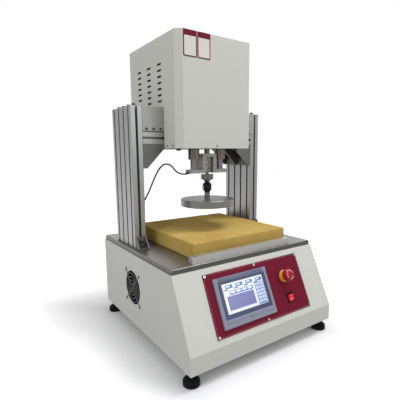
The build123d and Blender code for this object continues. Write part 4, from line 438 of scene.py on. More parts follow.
@dataclass(frozen=True)
class Metal(Finish):
    """Bare or anodised metal with a grain in one direction."""

    metallic: float = 0.85
    along: Along = Along.NONE
    grain_scale: float = 900.0
    grain_depth: float = 0.000012
    contrast: float = 0.16
    worn: Colour = (205, 206, 207)
    # Strength of the painted shade that darkens corners.
    corner_shade: float = 0.3
    reach: float = 0.006
    edge: float = 0.0005
    # Colour of upright faces, lighter than level faces on some finishes and darker on others, as light
    # falls on them: painted light and shade.
    side: Optional[Colour] = None

    def wire(self, bench: Bench, shader: Node) -> None:
        """Wire grain, smudges, scratches, painted shade in corners, painted light and shade on upright
        faces, and bright edges.
        """
        streaks = self.group(bench, GROUPS.streaks(), Stretch=self.along.value, Scale=self.grain_scale)
        lines, scratches = streaks.outputs["Lines"], streaks.outputs["Scratches"]
        height = bench.minus(lines, scratches)
        wear = self.relief(bench, shader, height, self.grain_depth, self.edge)
        colour: Any = linear(self.colour)
        # Painted light and shade: upright faces take the side colour, lighter or darker than the level
        # faces by how light falls on them.
        if self.side:
            upright = self.group(bench, GROUPS.facing()).outputs["Upright"]
            colour = bench.blend(upright, colour, linear(self.side))
        # The tone group darkens corners and recesses with painted shade.
        tone = self.group(
            bench, GROUPS.tone(), Colour=colour, Shade=0.1, Scale=11.0, Dirt=self.corner_shade, Reach=self.reach
        )
        lined = bench.blend(
            bench.spread(lines, 0.0, 1.0, 0.0, self.contrast), tone.outputs["Colour"], linear(self.worn)
        )
        edged = bench.blend(bench.times(wear, 0.6), lined, linear(self.worn))
        bench.join(edged, shader, "Base Color")
        rough = bench.spread(lines, 0.0, 1.0, self.roughness - 0.07, self.roughness + 0.08)
        rough = bench.plus(rough, bench.times(tone.outputs["Smudge"], 0.06))
        bench.join(rough, shader, "Roughness")


@dataclass(frozen=True)
class Moulded(Finish):
    """Moulded plastic or rubber with a fine spark-eroded skin."""

    skin_scale: float = 1500.0
    skin_depth: float = 0.00003
    worn: Colour = (120, 120, 120)
    rub: float = 0.25
    shade: float = 0.1
    glow: float = 0.0

    def wire(self, bench: Bench, shader: Node) -> None:
        """Wire the moulded skin, painted shade in corners and rubbed edges."""
        peel = self.group(bench, GROUPS.peel(), Scale=self.skin_scale, Waves=0.15)
        wear = self.relief(bench, shader, peel.outputs["Height"], self.skin_depth, 0.0005)
        # The tone group darkens corners and recesses with painted shade.
        tone = self.group(
            bench, GROUPS.tone(), Colour=linear(self.colour), Shade=self.shade, Scale=30.0, Dirt=0.2
        )
        rubbed = bench.blend(bench.times(wear, self.rub), tone.outputs["Colour"], linear(self.worn))
        bench.join(rubbed, shader, "Base Color")
        gloss = bench.spread(tone.outputs["Smudge"], 0.0, 1.0, self.roughness - 0.06, self.roughness + 0.08)
        bench.join(gloss, shader, "Roughness")
        if self.glow:
            bench.join(rubbed, shader, "Emission Color")
            shader.inputs["Emission Strength"].default_value = self.glow


@dataclass(frozen=True)
class Screen(Finish):
    """A lit liquid crystal display, with its fine rows and columns of cells."""

    glow: float = 0.55
    cell: float = 900.0
    unlit: float = 0.45

    def wire(self, bench: Bench, shader: Node) -> None:
        """Wire the display's cells into its colour and its light."""
        rows = bench.add(
            "ShaderNodeTexWave", {"Vector": bench.place(), "Scale": self.cell, "Distortion": 0.0},
            bands_direction="X"
        )
        columns = bench.add(
            "ShaderNodeTexWave", {"Vector": bench.place(), "Scale": self.cell, "Distortion": 0.0},
            bands_direction="Z"
        )
        weave = bench.times(rows.outputs["Fac"], columns.outputs["Fac"])
        slow = bench.grain(bench.place(), 24.0, detail=3.0)
        level = bench.plus(
            bench.spread(weave, 0.0, 1.0, 0.86, 1.0), bench.spread(slow, 0.3, 0.7, -0.05, 0.05)
        )
        lit = bench.scaled(linear(self.colour)[:3], level)
        bench.join(lit, shader, "Emission Color")
        shader.inputs["Emission Strength"].default_value = self.glow
        bench.join(bench.scaled(lit, self.unlit), shader, "Base Color")


@dataclass(frozen=True)
class Foam(Finish):
    """Aged open-cell polyurethane foam, as a saw leaves it."""

    pore: Colour = (112, 84, 38)
    pale: Colour = (208, 180, 106)
    cell_scale: float = 620.0

    def wire(self, bench: Bench, shader: Node) -> None:
        """Wire cells, saw marks and the yellowing of old foam."""
        cells = self.group(bench, GROUPS.cells(), Scale=self.cell_scale)
        saw = self.group(bench, GROUPS.streaks(), Stretch=Along.X.value, Scale=160.0)
        height = bench.plus(cells.outputs["Height"], bench.times(saw.outputs["Lines"], 0.35))
        self.relief(bench, shader, height, 0.0005, 0.002)
        aged = bench.blend(
            bench.spread(cells.outputs["Tint"], 0.3, 0.72, 0.0, 1.0), linear(self.colour),
            linear(self.pale)
        )
        tone = self.group(bench, GROUPS.tone(), Colour=aged, Shade=0.12, Scale=22.0, Dirt=0.0)
        open_cells = bench.times(cells.outputs["Pores"], 0.42)
        bench.join(bench.blend(open_cells, tone.outputs["Colour"], linear(self.pore)), shader, "Base Color")
        shader.inputs["Sheen Weight"].default_value = 0.02
        shader.inputs["Sheen Roughness"].default_value = 0.6


class Kit:
    """Every finish of the machine, in one place."""

    CABINET = Paint("cabinet_paint", (208, 209, 202), roughness=0.45, specular=0.3)
    PANEL = Paint(
        "panel_paint", (114, 20, 44), roughness=0.42, worn=(150, 70, 88), peel_scale=1100.0, corner_shade=0.2,
        specular=0.1
    )
    PINSTRIPE = Paint(
        "panel_line", (176, 122, 132), roughness=0.45, worn=(190, 150, 158), peel_scale=1100.0,
        specular=0.1
    )
    LABEL = Paint(
        "label_face", (222, 219, 216), roughness=0.34, worn=(240, 240, 236), peel_scale=1500.0,
        corner_shade=0.15, specular=0.3
    )
    TIE = Metal(
        "tie_plate_metal", (172, 173, 166), roughness=0.45, along=Along.X, grain_scale=700.0,
        metallic=0.5
    )
    # The plate's upright edges take a darker colour: painted shade.
    PLATE = Metal(
        "plate_aluminium", (132, 131, 128), roughness=0.3, along=Along.X, grain_scale=700.0,
        side=(100, 100, 98)
    )
    # The bar's upright faces take a lighter colour: painted light.
    BAR = Metal(
        "bar_aluminium", (208, 208, 203), roughness=0.34, along=Along.X, grain_scale=700.0,
        side=(222, 222, 218)
    )
    # The profile and the beam take strong painted shade in their slots and corners.
    PROFILE = Metal(
        "profile_aluminium", (178, 179, 179), roughness=0.37, along=Along.Z, grain_scale=800.0,
        contrast=0.2, corner_shade=0.85, reach=0.016
    )
    BEAM = Metal(
        "beam_aluminium", (176, 177, 175), roughness=0.37, along=Along.X, grain_scale=800.0,
        contrast=0.2, corner_shade=0.85, reach=0.016
    )
    MACHINED = Metal(
        "machined_aluminium", (160, 160, 152), roughness=0.42, along=Along.X, grain_scale=1100.0,
        metallic=0.6
    )
    CAST = Metal(
        "cast_aluminium", (120, 121, 117), roughness=0.5, grain_scale=420.0, grain_depth=0.00008,
        worn=(150, 151, 150)
    )
    GROUND = Metal(
        "ground_steel", (160, 158, 154), roughness=0.14, along=Along.Z, grain_scale=1500.0,
        grain_depth=0.000004, metallic=1.0
    )
    BUSHING = Metal(
        "bushing_steel", (138, 126, 116), roughness=0.2, along=Along.X, grain_scale=1200.0,
        metallic=1.0, corner_shade=0.6
    )
    STEEL = Metal(
        "machined_steel", (136, 130, 120), roughness=0.28, along=Along.X, grain_scale=1200.0,
        metallic=1.0, corner_shade=0.5
    )
    CELL = Metal("cell_steel", (128, 124, 116), roughness=0.3, along=Along.Z, grain_scale=1000.0, corner_shade=0.5)
    # The disc's upright rim takes a lighter colour: painted light.
    DISC = Metal("disc_steel", (118, 119, 118), roughness=0.36, grain_scale=900.0, side=(144, 145, 142))
    OXIDE = Paint(
        "black_oxide_steel", (20, 22, 28), roughness=0.3, worn=(92, 94, 100), peel_scale=1400.0,
        shade=0.3, specular=0.3
    )
    DARK_SCREW = Metal("dark_fasteners", (66, 66, 70), roughness=0.36, metallic=0.8, worn=(150, 150, 152))
    BRIGHT_SCREW = Metal("bright_fasteners", (178, 179, 181), roughness=0.24, metallic=1.0, corner_shade=0.6)
    GUARD = Metal("guard_wire", (96, 96, 100), roughness=0.3, metallic=1.0, corner_shade=0.5)
    RUBBER = Moulded(
        "foot_rubber", (14, 15, 18), specular=0.12, roughness=0.55, worn=(70, 70, 74), shade=0.35
    )
    BELT = Moulded("belt_rubber", (28, 28, 30), roughness=0.6, worn=(70, 70, 72), shade=0.3, specular=0.2)
    JACKET = Moulded(
        "cable_jacket", (14, 15, 18), roughness=0.42, worn=(50, 50, 54), shade=0.25, specular=0.2
    )
    FOAM = Foam("foam", (190, 156, 80), roughness=0.95, specular=0.02, pore=(122, 92, 44))
    BLACK = Moulded(
        "black_plastic", (18, 19, 22), roughness=0.4, worn=(76, 76, 80), shade=0.3, specular=0.2
    )
    BEZEL = Moulded("screen_plastic", (140, 142, 160), roughness=0.42, worn=(190, 192, 206), specular=0.2)
    BORDER = Moulded("screen_border", (70, 78, 112), roughness=0.25, worn=(110, 114, 150), specular=0.3)
    BAND = Moulded("screen_band", (108, 112, 138), roughness=0.3, worn=(130, 134, 158), specular=0.25)
    YELLOW = Moulded("yellow_plastic", (224, 160, 54), roughness=0.36, worn=(238, 190, 110), specular=0.3)
    RED = Moulded("red_plastic", (166, 20, 32), roughness=0.28, worn=(206, 80, 84), coat=0.2, specular=0.3)
    ARROW = Moulded("arrow_inlay", (238, 230, 230), roughness=0.4, worn=(245, 240, 240), specular=0.3)
    ROCKER = Moulded(
        "rocker_red", (214, 32, 38), roughness=0.25, worn=(240, 120, 110), coat=0.2, glow=0.42,
        specular=0.3
    )
    MOTOR = Paint("motor_paint", (46, 48, 52), roughness=0.45, worn=(110, 110, 112))
    TIN = Metal("electrics_metal", (188, 189, 188), roughness=0.42, along=Along.Y, grain_scale=600.0)
    CASE = Moulded("electrics_plastic", (62, 70, 66), roughness=0.5)
    SCREEN_WHITE = Screen("display_white", (248, 250, 252), roughness=0.16, coat=0.5)
    SCREEN_BLUE = Screen("display_blue", (26, 134, 218), roughness=0.16, coat=0.5)
    SCREEN_GRAPH = Screen("display_graph", (128, 130, 196), roughness=0.16, coat=0.5)
    SCREEN_LINE = Screen("display_line", (84, 86, 150), roughness=0.16, coat=0.5)


class Shape:
    """A bmesh in the making, in metres, with the material slots of its faces."""

    def __init__(self) -> None:
        """Start empty."""
        self.bm = bmesh.new()

    def edges_of(self, verts: Sequence[bmesh.types.BMVert]) -> list:
        """Return the edges whose two ends are both among some vertices."""
        chosen = set(verts)
        return [edge for edge in self.bm.edges if edge.verts[0] in chosen and edge.verts[1] in chosen]

    def block(
        self, size: Sequence[float], centre: Sequence[float], bevel: float = 0.0, slot: int = 0,
        segments: int = 2
    ) -> list:
        """Add a box with its edges bevelled.

        Args:
            size: Its three sizes.
            centre: Its middle.
            bevel: Width of the bevel on every edge, or 0 for none.
            slot: Material slot of its faces.
            segments: Segments of the bevel.

        Returns:
            Its faces.
        """
        matrix = Matrix.Translation(Vector(centre)) @ Matrix.Diagonal((*size, 1.0))
        verts = bmesh.ops.create_cube(self.bm, size=1.0, matrix=matrix)["verts"]
        faces = [face for face in self.bm.faces if all(v in verts for v in face.verts)]
        if bevel:
            made = bmesh.ops.bevel(
                self.bm, geom=self.edges_of(verts), offset=bevel, segments=segments, profile=0.5,
                affect="EDGES", material=-1
            )
            faces = list({face for face in [*faces, *made["faces"]] if face.is_valid})
        for face in faces:
            face.material_index = slot
        return faces

    def plate(self, width: float, height: float, thickness: float, corner: float) -> Any:
        """Add a plate with rounded corners, its back on the XY plane and its face upwards.

        Args:
            width: Size along X.
            height: Size along Y.
            thickness: Size along Z.
            corner: Radius of its four corners.

        Returns:
            Its front face.
        """
        size = Matrix.Diagonal((width, height, thickness, 1.0))
        matrix = Matrix.Translation((0, 0, thickness / 2)) @ size
        verts = bmesh.ops.create_cube(self.bm, size=1.0, matrix=matrix)["verts"]
        upright = [
            e for e in self.edges_of(verts) if abs(e.verts[0].co.z - e.verts[1].co.z) > thickness / 2
        ]
        bmesh.ops.bevel(
            self.bm, geom=upright, offset=corner, segments=6, profile=0.5, affect="EDGES", material=-1
        )
        return max(
            self.bm.faces, key=lambda face: (round(face.calc_center_median().z, 7), face.calc_area())
        )

    def lathe(self, outline: Sequence[tuple[float, float]], steps: int = 64) -> None:
        """Add a turned shape about the Z axis.

        Args:
            outline: Radius and height of each point of its half section.
            steps: Number of steps round the axis.
        """
        before = set(self.bm.verts)
        verts = [self.bm.verts.new((radius, 0.0, height)) for radius, height in outline]
        edges = [self.bm.edges.new(pair) for pair in zip(verts, verts[1:])]
        if outline[0][0] > 0 and outline[-1][0] > 0:
            edges.append(self.bm.edges.new((verts[-1], verts[0])))
        bmesh.ops.spin(
            self.bm, geom=[*verts, *edges], cent=(0, 0, 0), axis=(0, 0, 1), dvec=(0, 0, 0),
            angle=2 * math.pi, steps=steps, use_merge=True,
        )
        added = [vert for vert in self.bm.verts if vert not in before]
        bmesh.ops.remove_doubles(self.bm, verts=added, dist=1e-7)

    def piece(
        self, name: str, finishes: Sequence[Finish], place: Matrix = Matrix.Identity(4),
        sharp: float = 32.0
    ) -> Object:
        """Turn the shape into a finished object at the origin.

        Args:
            name: Name of the piece.
            finishes: The finish of each material slot.
            place: Where the shape goes in the machine.
            sharp: Angle in degrees above which an edge stays sharp.

        Returns:
            The new object.
        """
        bmesh.ops.transform(self.bm, matrix=place, verts=self.bm.verts)
        bmesh.ops.remove_doubles(self.bm, verts=self.bm.verts, dist=1e-8)
        bmesh.ops.recalc_face_normals(self.bm, faces=self.bm.faces)
        mesh = bpy.data.meshes.new(name)
        self.bm.to_mesh(mesh)
        self.bm.free()
        mesh.shade_smooth()
        mesh.set_sharp_from_angle(angle=math.radians(sharp))
        for finish in finishes:
            mesh.materials.append(finish.build())
        made = bpy.data.objects.new(name, mesh)
        bpy.context.scene.collection.objects.link(made)
        LOG.info("piece %s: %d faces", name, len(mesh.polygons))
        return made


def dress(node: str, finish: Finish) -> None:
    """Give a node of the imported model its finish.

    Args:
        node: Name of the node.
        finish: The finish that it gets in every material slot.
    """
    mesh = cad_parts[node].data
    material = finish.build()
    if not mesh.materials:
        mesh.materials.append(material)
    for index in range(len(mesh.materials)):
        mesh.materials[index] = material
    LOG.info("dressed %s in %s", node, finish.name)


@dataclass
class Assembly:
    """A sub-assembly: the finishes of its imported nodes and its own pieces."""

    finishes: dict[str, Finish] = field(default_factory=dict)

    def build(self) -> None:
        """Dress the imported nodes, then make the new pieces."""
        for node, finish in self.finishes.items():
            dress(node, finish)
        self.model()

    def model(self) -> None:
        """Make the new pieces, where the sub-assembly has any."""

    def fit(self, piece: Object, body: str, slot: str, *nodes: str) -> None:
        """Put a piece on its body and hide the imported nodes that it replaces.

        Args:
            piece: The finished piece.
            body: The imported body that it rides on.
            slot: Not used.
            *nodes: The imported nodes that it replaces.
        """
        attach(piece, body)
        if nodes:
            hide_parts(*nodes)


@dataclass
class Cabinet(Assembly):
    """Sheet-metal base with its covers, feet, inlet and perforated table plate."""

    finishes: dict[str, Finish] = field(default_factory=lambda: {
        "base_cabinet": Kit.CABINET, "base_covers": Kit.CABINET, "cover_screws": Kit.BRIGHT_SCREW,
        "power_inlet": Kit.BLACK, "levelling_feet": Kit.RUBBER, "foot_stems": Kit.BRIGHT_SCREW,
        "top_plate": Kit.PLATE, "plate_screws": Kit.DARK_SCREW, "fence_bar": Kit.BAR,
    })


@dataclass
class Portal(Assembly):
    """The two slotted columns, the beam across them and their brackets."""

    finishes: dict[str, Finish] = field(default_factory=lambda: {
        "left_column": Kit.PROFILE, "right_column": Kit.PROFILE, "crossbeam": Kit.BEAM,
        "column_screws": Kit.DARK_SCREW, "foot_brackets": Kit.CAST, "gussets": Kit.CAST,
        "frame_screws": Kit.DARK_SCREW, "tie_plate": Kit.TIE, "tie_plate_screws": Kit.DARK_SCREW,
    })


@dataclass
class Head(Assembly):
    """The louvred drive head with its two bare label plates."""

    finishes: dict[str, Finish] = field(default_factory=lambda: {
        "head_housing": Kit.CABINET, "head_rear_cover": Kit.CABINET, "head_plate": Kit.MACHINED,
        "drive_frame": Kit.MACHINED, "servo_motor": Kit.MOTOR, "motor_shaft": Kit.STEEL,
        "drive_belt": Kit.BELT, "ball_screw": Kit.STEEL, "ball_nut": Kit.STEEL, "carriage": Kit.MACHINED,
    })
    label_size: tuple[float, float] = (0.050, 0.080)
    label_thickness: float = 0.0008
    label_corner: float = 0.0035
    label_frame: float = 0.0035
    label_band: float = 0.018
    label_centres: tuple[tuple[float, float], ...] = ((-0.109, 0.966), (-0.056, 0.966))

    def model(self) -> None:
        """Make the two label plates on the head's front."""
        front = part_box("head_housing")[0].y
        for side, (x, z) in zip(("left", "right"), self.label_centres):
            facing = Matrix.Translation((x, front, z)) @ Matrix.Rotation(math.radians(90), 4, "X")
            self.fit(self.label(f"label_plate_{side}", facing), "frame", "panel_paint")

    def label(self, name: str, place: Matrix) -> Object:
        """Make one bare label plate: a red frame and header round a pale face.

        Args:
            name: Name of the piece.
            place: Where the plate's back goes.

        Returns:
            The plate.
        """
        shape = Shape()
        width, height = self.label_size
        front = shape.plate(width, height, self.label_thickness, self.label_corner)
        inner = bmesh.ops.inset_region(
            shape.bm, faces=[front], thickness=self.label_frame, depth=0.0, use_even_offset=True
        )
        top = self.label_thickness * 0.99
        others = [face for face in shape.bm.faces if face.is_valid and face not in inner["faces"]]
        pale = [face for face in others if face.calc_center_median().z > top and face.normal.z > 0.9]
        split = height / 2 - self.label_band
        geom = [*pale, *{e for f in pale for e in f.edges}, *{v for f in pale for v in f.verts}]
        bmesh.ops.bisect_plane(shape.bm, geom=geom, dist=1e-7, plane_co=(0, split, 0), plane_no=(0, 1, 0))
        inside = width / 2 - self.label_frame
        foot = self.label_frame * 1.5 - height / 2
        for face in shape.bm.faces:
            middle = face.calc_center_median()
            if face.normal.z > 0.9 and abs(middle.x) < inside / 2 and foot < middle.y < split:
                face.material_index = 1
        return shape.piece(name, [Kit.PANEL, Kit.LABEL], place)


@dataclass
class LoadTrain(Assembly):
    """What moves down onto the foam: rods, bracket, load cell, coupling and disc."""

    finishes: dict[str, Finish] = field(default_factory=lambda: {
        "guide_bushings": Kit.BUSHING, "guide_rods": Kit.GROUND, "crosshead_bracket": Kit.MACHINED,
        "load_cell": Kit.CELL, "push_tube": Kit.STEEL, "spindle_adapter": Kit.STEEL,
        "indenter_coupling": Kit.OXIDE, "coupling_screw": Kit.BRIGHT_SCREW, "indenter_rod": Kit.STEEL,
        "indenter_disc": Kit.DISC,
    })


@dataclass
class FoamSpecimen(Assembly):
    """The square block of foam under test."""

    finishes: dict[str, Finish] = field(default_factory=lambda: {"foam_specimen": Kit.FOAM})
    edge: float = 0.0025
    cell: float = 0.007
    waviness: float = 0.0007
    keep: float = 0.32

    def model(self) -> None:
        """Cut the block and give it the unevenness of sawn foam."""
        low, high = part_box("foam_specimen")
        shape = Shape()
        size = high - low - Vector((1, 1, 0.5)) * 2 * self.waviness
        centre = (low + high) / 2 - Vector((0, 0, self.waviness / 2))
        shape.block(size, centre, bevel=self.edge, segments=3)
        for axis in range(3):
            count = int(size[axis] / self.cell)
            for step in range(1, count):
                at = Vector((0, 0, 0))
                at[axis] = centre[axis] - size[axis] / 2 + size[axis] * step / count
                across = Vector((0, 0, 0))
                across[axis] = 1
                geom = [*shape.bm.verts, *shape.bm.edges, *shape.bm.faces]
                bmesh.ops.bisect_plane(shape.bm, geom=geom, dist=1e-6, plane_co=at, plane_no=across)
        floor = low.z + self.edge
        for vert in shape.bm.verts:
            if vert.co.z > floor:
                rough = noise.noise(vert.co * 26) + 0.45 * noise.noise(vert.co * 110)
                vert.co += vert.normal * rough * self.waviness
        pad = shape.piece("foam_block", [Kit.FOAM], sharp=60.0)
        self.fit(pad, "frame", "foam", "foam_specimen")
        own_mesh(pad)


@dataclass
class SensorCable(Assembly):
    """The load cell's flexible cable, from the cell to its clip on the left column."""

    finishes: dict[str, Finish] = field(
        default_factory=lambda: {"load_cell_cable": Kit.JACKET, "cable_clip": Kit.BLACK}
    )
    diameter: float = 0.005
    length: float = 0.3167
    route: tuple[tuple[float, float, float], ...] = (
        (-0.012, 0.020, 0.559), (-0.038, 0.020, 0.559), (-0.066, 0.0218, 0.5576), (-0.094, 0.0256, 0.5515),
        (-0.121, 0.0302, 0.559), (-0.140, 0.0344, 0.5865), (-0.165, 0.0398, 0.591), (-0.184, 0.0452, 0.570),
        (-0.197, 0.0505, 0.542), (-0.208, 0.0565, 0.513), (-0.2185, 0.064, 0.484), (-0.232, 0.069, 0.461),
    )

    def curve(self, name: str, radius: float) -> Object:
        """Draw the route as one smooth curve.

        Args:
            name: Name of the curve.
            radius: Radius of its tube, or 0 for the bare line.

        Returns:
            The curve's object.
        """
        data = bpy.data.curves.new(name, "CURVE")
        data.dimensions = "3D"
        data.resolution_u = 16
        data.bevel_depth = radius
        data.bevel_resolution = 5
        data.use_fill_caps = radius > 0
        spline = data.splines.new("NURBS")
        spline.points.add(len(self.route) - 1)
        for point, place in zip(spline.points, self.route):
            point.co = (*place, 1.0)
        spline.order_u = 3
        spline.use_endpoint_u = True
        drawn = bpy.data.objects.new(name, data)
        bpy.context.scene.collection.objects.link(drawn)
        bpy.context.view_layer.update()
        return drawn

    def as_mesh(self, drawn: Object) -> bpy.types.Mesh:
        """Return a curve's evaluated mesh and delete the curve."""
        evaluated = drawn.evaluated_get(bpy.context.evaluated_depsgraph_get())
        mesh = bpy.data.meshes.new_from_object(evaluated)
        bpy.data.objects.remove(drawn)
        return mesh

    def model(self) -> None:
        """Make the cable's tube and its gland."""
        path = [tuple(vert.co) for vert in self.as_mesh(self.curve("cable_line", 0.0)).vertices]
        mesh = self.as_mesh(self.curve("cable_tube", self.diameter / 2))
        mesh.name = "sensor_cable"
        mesh.shade_smooth()
        mesh.materials.clear()
        mesh.materials.append(Kit.JACKET.build())
        tube = bpy.data.objects.new("sensor_cable", mesh)
        bpy.context.scene.collection.objects.link(tube)
        LOG.info("piece sensor_cable: %d faces", len(mesh.polygons))
        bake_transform(tube)
        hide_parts("load_cell_cable")
        self.gland()

    def gland(self) -> Object:
        """Make the tapered gland where the cable leaves the load cell.

        Returns:
            The gland.
        """
        shape = Shape()
        radius = self.diameter / 2
        outline = [
            (radius * 0.96, 0.0), (0.0052, 0.0), (0.0052, 0.0035), (0.0046, 0.0042), (0.0046, 0.0052),
            (0.0042, 0.0056), (0.0040, 0.0075), (0.0037, 0.0079), (0.0037, 0.0098), (0.0033, 0.0102),
            (0.0031, 0.0132), (0.0028, 0.0138), (radius * 0.96, 0.0138),
        ]
        shape.lathe(outline, steps=32)
        place = Matrix.Translation(self.route[0]) @ Matrix.Rotation(math.radians(-90), 4, "Y")
        gland = shape.piece("cable_gland", [Kit.BLACK], place)
        self.fit(gland, "crosshead", "black_plastic")
        return gland


@dataclass
class ControlPanel(Assembly):
    """The sloping panel with its touch screen, emergency stop and mains rocker."""

    finishes: dict[str, Finish] = field(default_factory=lambda: {
        "control_panel": Kit.PANEL, "panel_screws": Kit.BRIGHT_SCREW, "touchscreen_housing": Kit.BEZEL,
        "touchscreen_glass": Kit.BORDER, "estop_collar": Kit.YELLOW, "estop_contact_block": Kit.BLACK,
        "estop_stem": Kit.BLACK, "estop_knob": Kit.RED, "switch_bezel": Kit.BLACK,
        "switch_rocker": Kit.ROCKER,
    })
    origin: tuple[float, float, float] = (0.0, -0.222, 0.293)
    down: tuple[float, float, float] = (0.0, -0.42514, -0.90514)
    screen: tuple[float, float] = (-0.0635, 0.10875)
    glass: tuple[float, float] = (0.184, 0.118)
    display: tuple[float, float] = (0.158, 0.087)
    display_rise: float = 0.0085
    bezel: tuple[float, float] = (0.207, 0.1455)
    band_share: tuple[float, float] = (0.86, 0.085)
    band_rise: float = 0.447
    band_thickness: float = 0.0003
    rim_share: float = 0.075
    rim_rise: float = 0.0375 - 0.405
    lamp_share: float = 0.40
    lamp_outline: tuple[tuple[float, float], ...] = (
        (0.0, 0.0006), (0.0016, 0.0005), (0.0021, 0.0002), (0.0023, 0.0),
    )
    panel: tuple[float, float] = (0.390, 0.183)
    panel_down: float = 0.1085
    line_inset: float = 0.0032
    line_width: float = 0.0008
    line_height: float = 0.00015
    rocker_tilt: float = 10.0
    rocker_slope: float = 6.79
    rocker_level: float = 0.00575
    mark_offset: float = 0.0056
    mark_thickness: float = 0.0003
    arrow_count: int = 3
    arrow_start: float = 12.0
    arrow_sweep: float = 62.0
    arrow_radius: float = 0.0128
    arrow_half_width: float = 0.0011
    arrow_thickness: float = 0.0005
    arrow_lead: float = 0.0022
    arrow_tip: float = 0.0032
    arrow_tip_top: float = 0.0030
    arrow_sink: float = 0.0006
    graph: tuple[float, float, float, float] = (0.06, 0.43, 0.65, 0.47)
    graph_columns: int = 26
    graph_rows: int = 11
    tile_thickness: float = 0.00008
    layer: float = 0.00006
    stop: tuple[float, float] = (0.113, 0.082)
    switch: tuple[float, float] = (0.117, 0.1525)

    def at(self, x: float, down: float, out: float) -> Matrix:
        """Return the place on the panel: X right, Y up the slope and Z out of it."""
        right = Vector((1, 0, 0))
        up = -Vector(self.down)
        turned = Matrix((right, up, right.cross(up))).transposed().to_4x4()
        spot = Vector(self.origin) + right * x - up * down + right.cross(up) * out
        return Matrix.Translation(spot) @ turned

    def reach(self, node: str) -> float:
        """Return how far a node stands out of the panel's back plane."""
        out = Vector((1, 0, 0)).cross(-Vector(self.down))
        return max((vert.co - Vector(self.origin)).dot(out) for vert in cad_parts[node].data.vertices)

    def model(self) -> None:
        """Make the line round the panel, the screen's face and picture, and the marks."""
        self.line()
        self.screen_face()
        self.picture()
        self.arrows()
        self.rocker_marks()

    def line(self) -> None:
        """Make the thin pale line printed just inside the panel's edge."""
        shape = Shape()
        wide, high = (side - 2 * self.line_inset for side in self.panel)
        middle = self.line_height / 2
        for side in (-1, 1):
            shape.block((wide, self.line_width, self.line_height), (0, side * high / 2, middle))
            shape.block((self.line_width, high, self.line_height), (side * wide / 2, 0, middle))
        place = self.at(0, self.panel_down, self.reach("control_panel"))
        self.fit(shape.piece("panel_line", [Kit.PINSTRIPE], place), "frame", "panel_paint")

    def screen_face(self) -> None:
        """Make the screen's dark top band, its lower rim and its small round lamp."""
        wide, high = self.bezel
        out = self.reach("touchscreen_housing")
        middle = self.at(*self.screen, out)
        band = Shape()
        band_size = (wide * self.band_share[0], high * self.band_share[1], self.band_thickness)
        band.block(band_size, (0, high * self.band_rise, self.band_thickness / 2), bevel=0.0001)
        self.fit(band.piece("screen_band", [Kit.BAND], middle), "frame", "black_plastic")
        rim = Shape()
        depth = out - self.reach("touchscreen_glass")
        rim_size = (self.glass[0], high * self.rim_share, depth)
        rim.block(rim_size, (0, high * self.rim_rise, -depth / 2), bevel=0.0002)
        self.fit(rim.piece("screen_rim", [Kit.BEZEL], middle), "frame", "black_plastic")
        lamp = Shape()
        lamp.lathe(self.lamp_outline, steps=24)
        spot = self.at(self.screen[0], self.screen[1] + high * self.lamp_share, out)
        self.fit(lamp.piece("screen_lamp", [Kit.BLACK], spot), "frame", "black_plastic")

    def tile(
        self, shape: Shape, left: float, top: float, width: float, height: float, slot: int, lift: float
    ) -> None:
        """Add one flat tile of the picture.

        Args:
            shape: The picture in the making.
            left: Its left edge, as a share of the picture's width.
            top: Its top edge, as a share of the picture's height.
            width: Its width, as a share.
            height: Its height, as a share.
            slot: Its colour's slot.
            lift: Its layer, counted from the glass.
        """
        wide, high = self.display
        x = (left + width / 2 - 0.5) * wide
        y = (0.5 - top - height / 2) * high
        level = self.tile_thickness / 2 + lift * self.layer
        shape.block((width * wide, height * high, self.tile_thickness), (x, y, level), slot=slot)

    def picture(self) -> None:
        """Make the lit picture: fields, buttons and a grid, with no words."""
        shape = Shape()
        finishes = [Kit.SCREEN_WHITE, Kit.SCREEN_BLUE, Kit.SCREEN_GRAPH, Kit.SCREEN_LINE]
        white, blue, graph, line = range(len(finishes))
        self.tile(shape, 0, 0, 1, 1, white, 0)
        for index in range(4):
            left = 0.02 + index * 0.245
            self.tile(shape, left + 0.05, 0.06, 0.17, 0.12, blue, 1)
            self.tile(shape, left + 0.07, 0.085, 0.09, 0.05, white, 2)
            self.tile(shape, left, 0.195, 0.10, 0.035, line, 1)
        self.tile(shape, 0.14, 0.27, 0.58, 0.13, blue, 1)
        for index in range(4):
            self.tile(shape, 0.16 + index * 0.14, 0.285, 0.11, 0.075, white, 2)
        left, top, wide, high = self.graph
        self.tile(shape, left, top, wide, high, graph, 1)
        for index in range(1, self.graph_columns):
            self.tile(shape, left + index * wide / self.graph_columns, top, 0.003, high, line, 2)
        for index in range(1, self.graph_rows):
            self.tile(shape, left, top + index * high / self.graph_rows, wide, 0.005, line, 2)
        self.tile(shape, 0.77, 0.22, 0.21, 0.76, blue, 1)
        for index in range(6):
            for column in range(2):
                self.tile(shape, 0.785 + column * 0.097, 0.245 + index * 0.12, 0.085, 0.085, white, 2)
                self.tile(shape, 0.80 + column * 0.097, 0.275 + index * 0.12, 0.05, 0.02, line, 3)
        across, down = self.screen
        place = self.at(across, down - self.display_rise, self.reach("touchscreen_glass"))
        self.fit(shape.piece("screen_picture", finishes, place), "frame", "screen_glass")

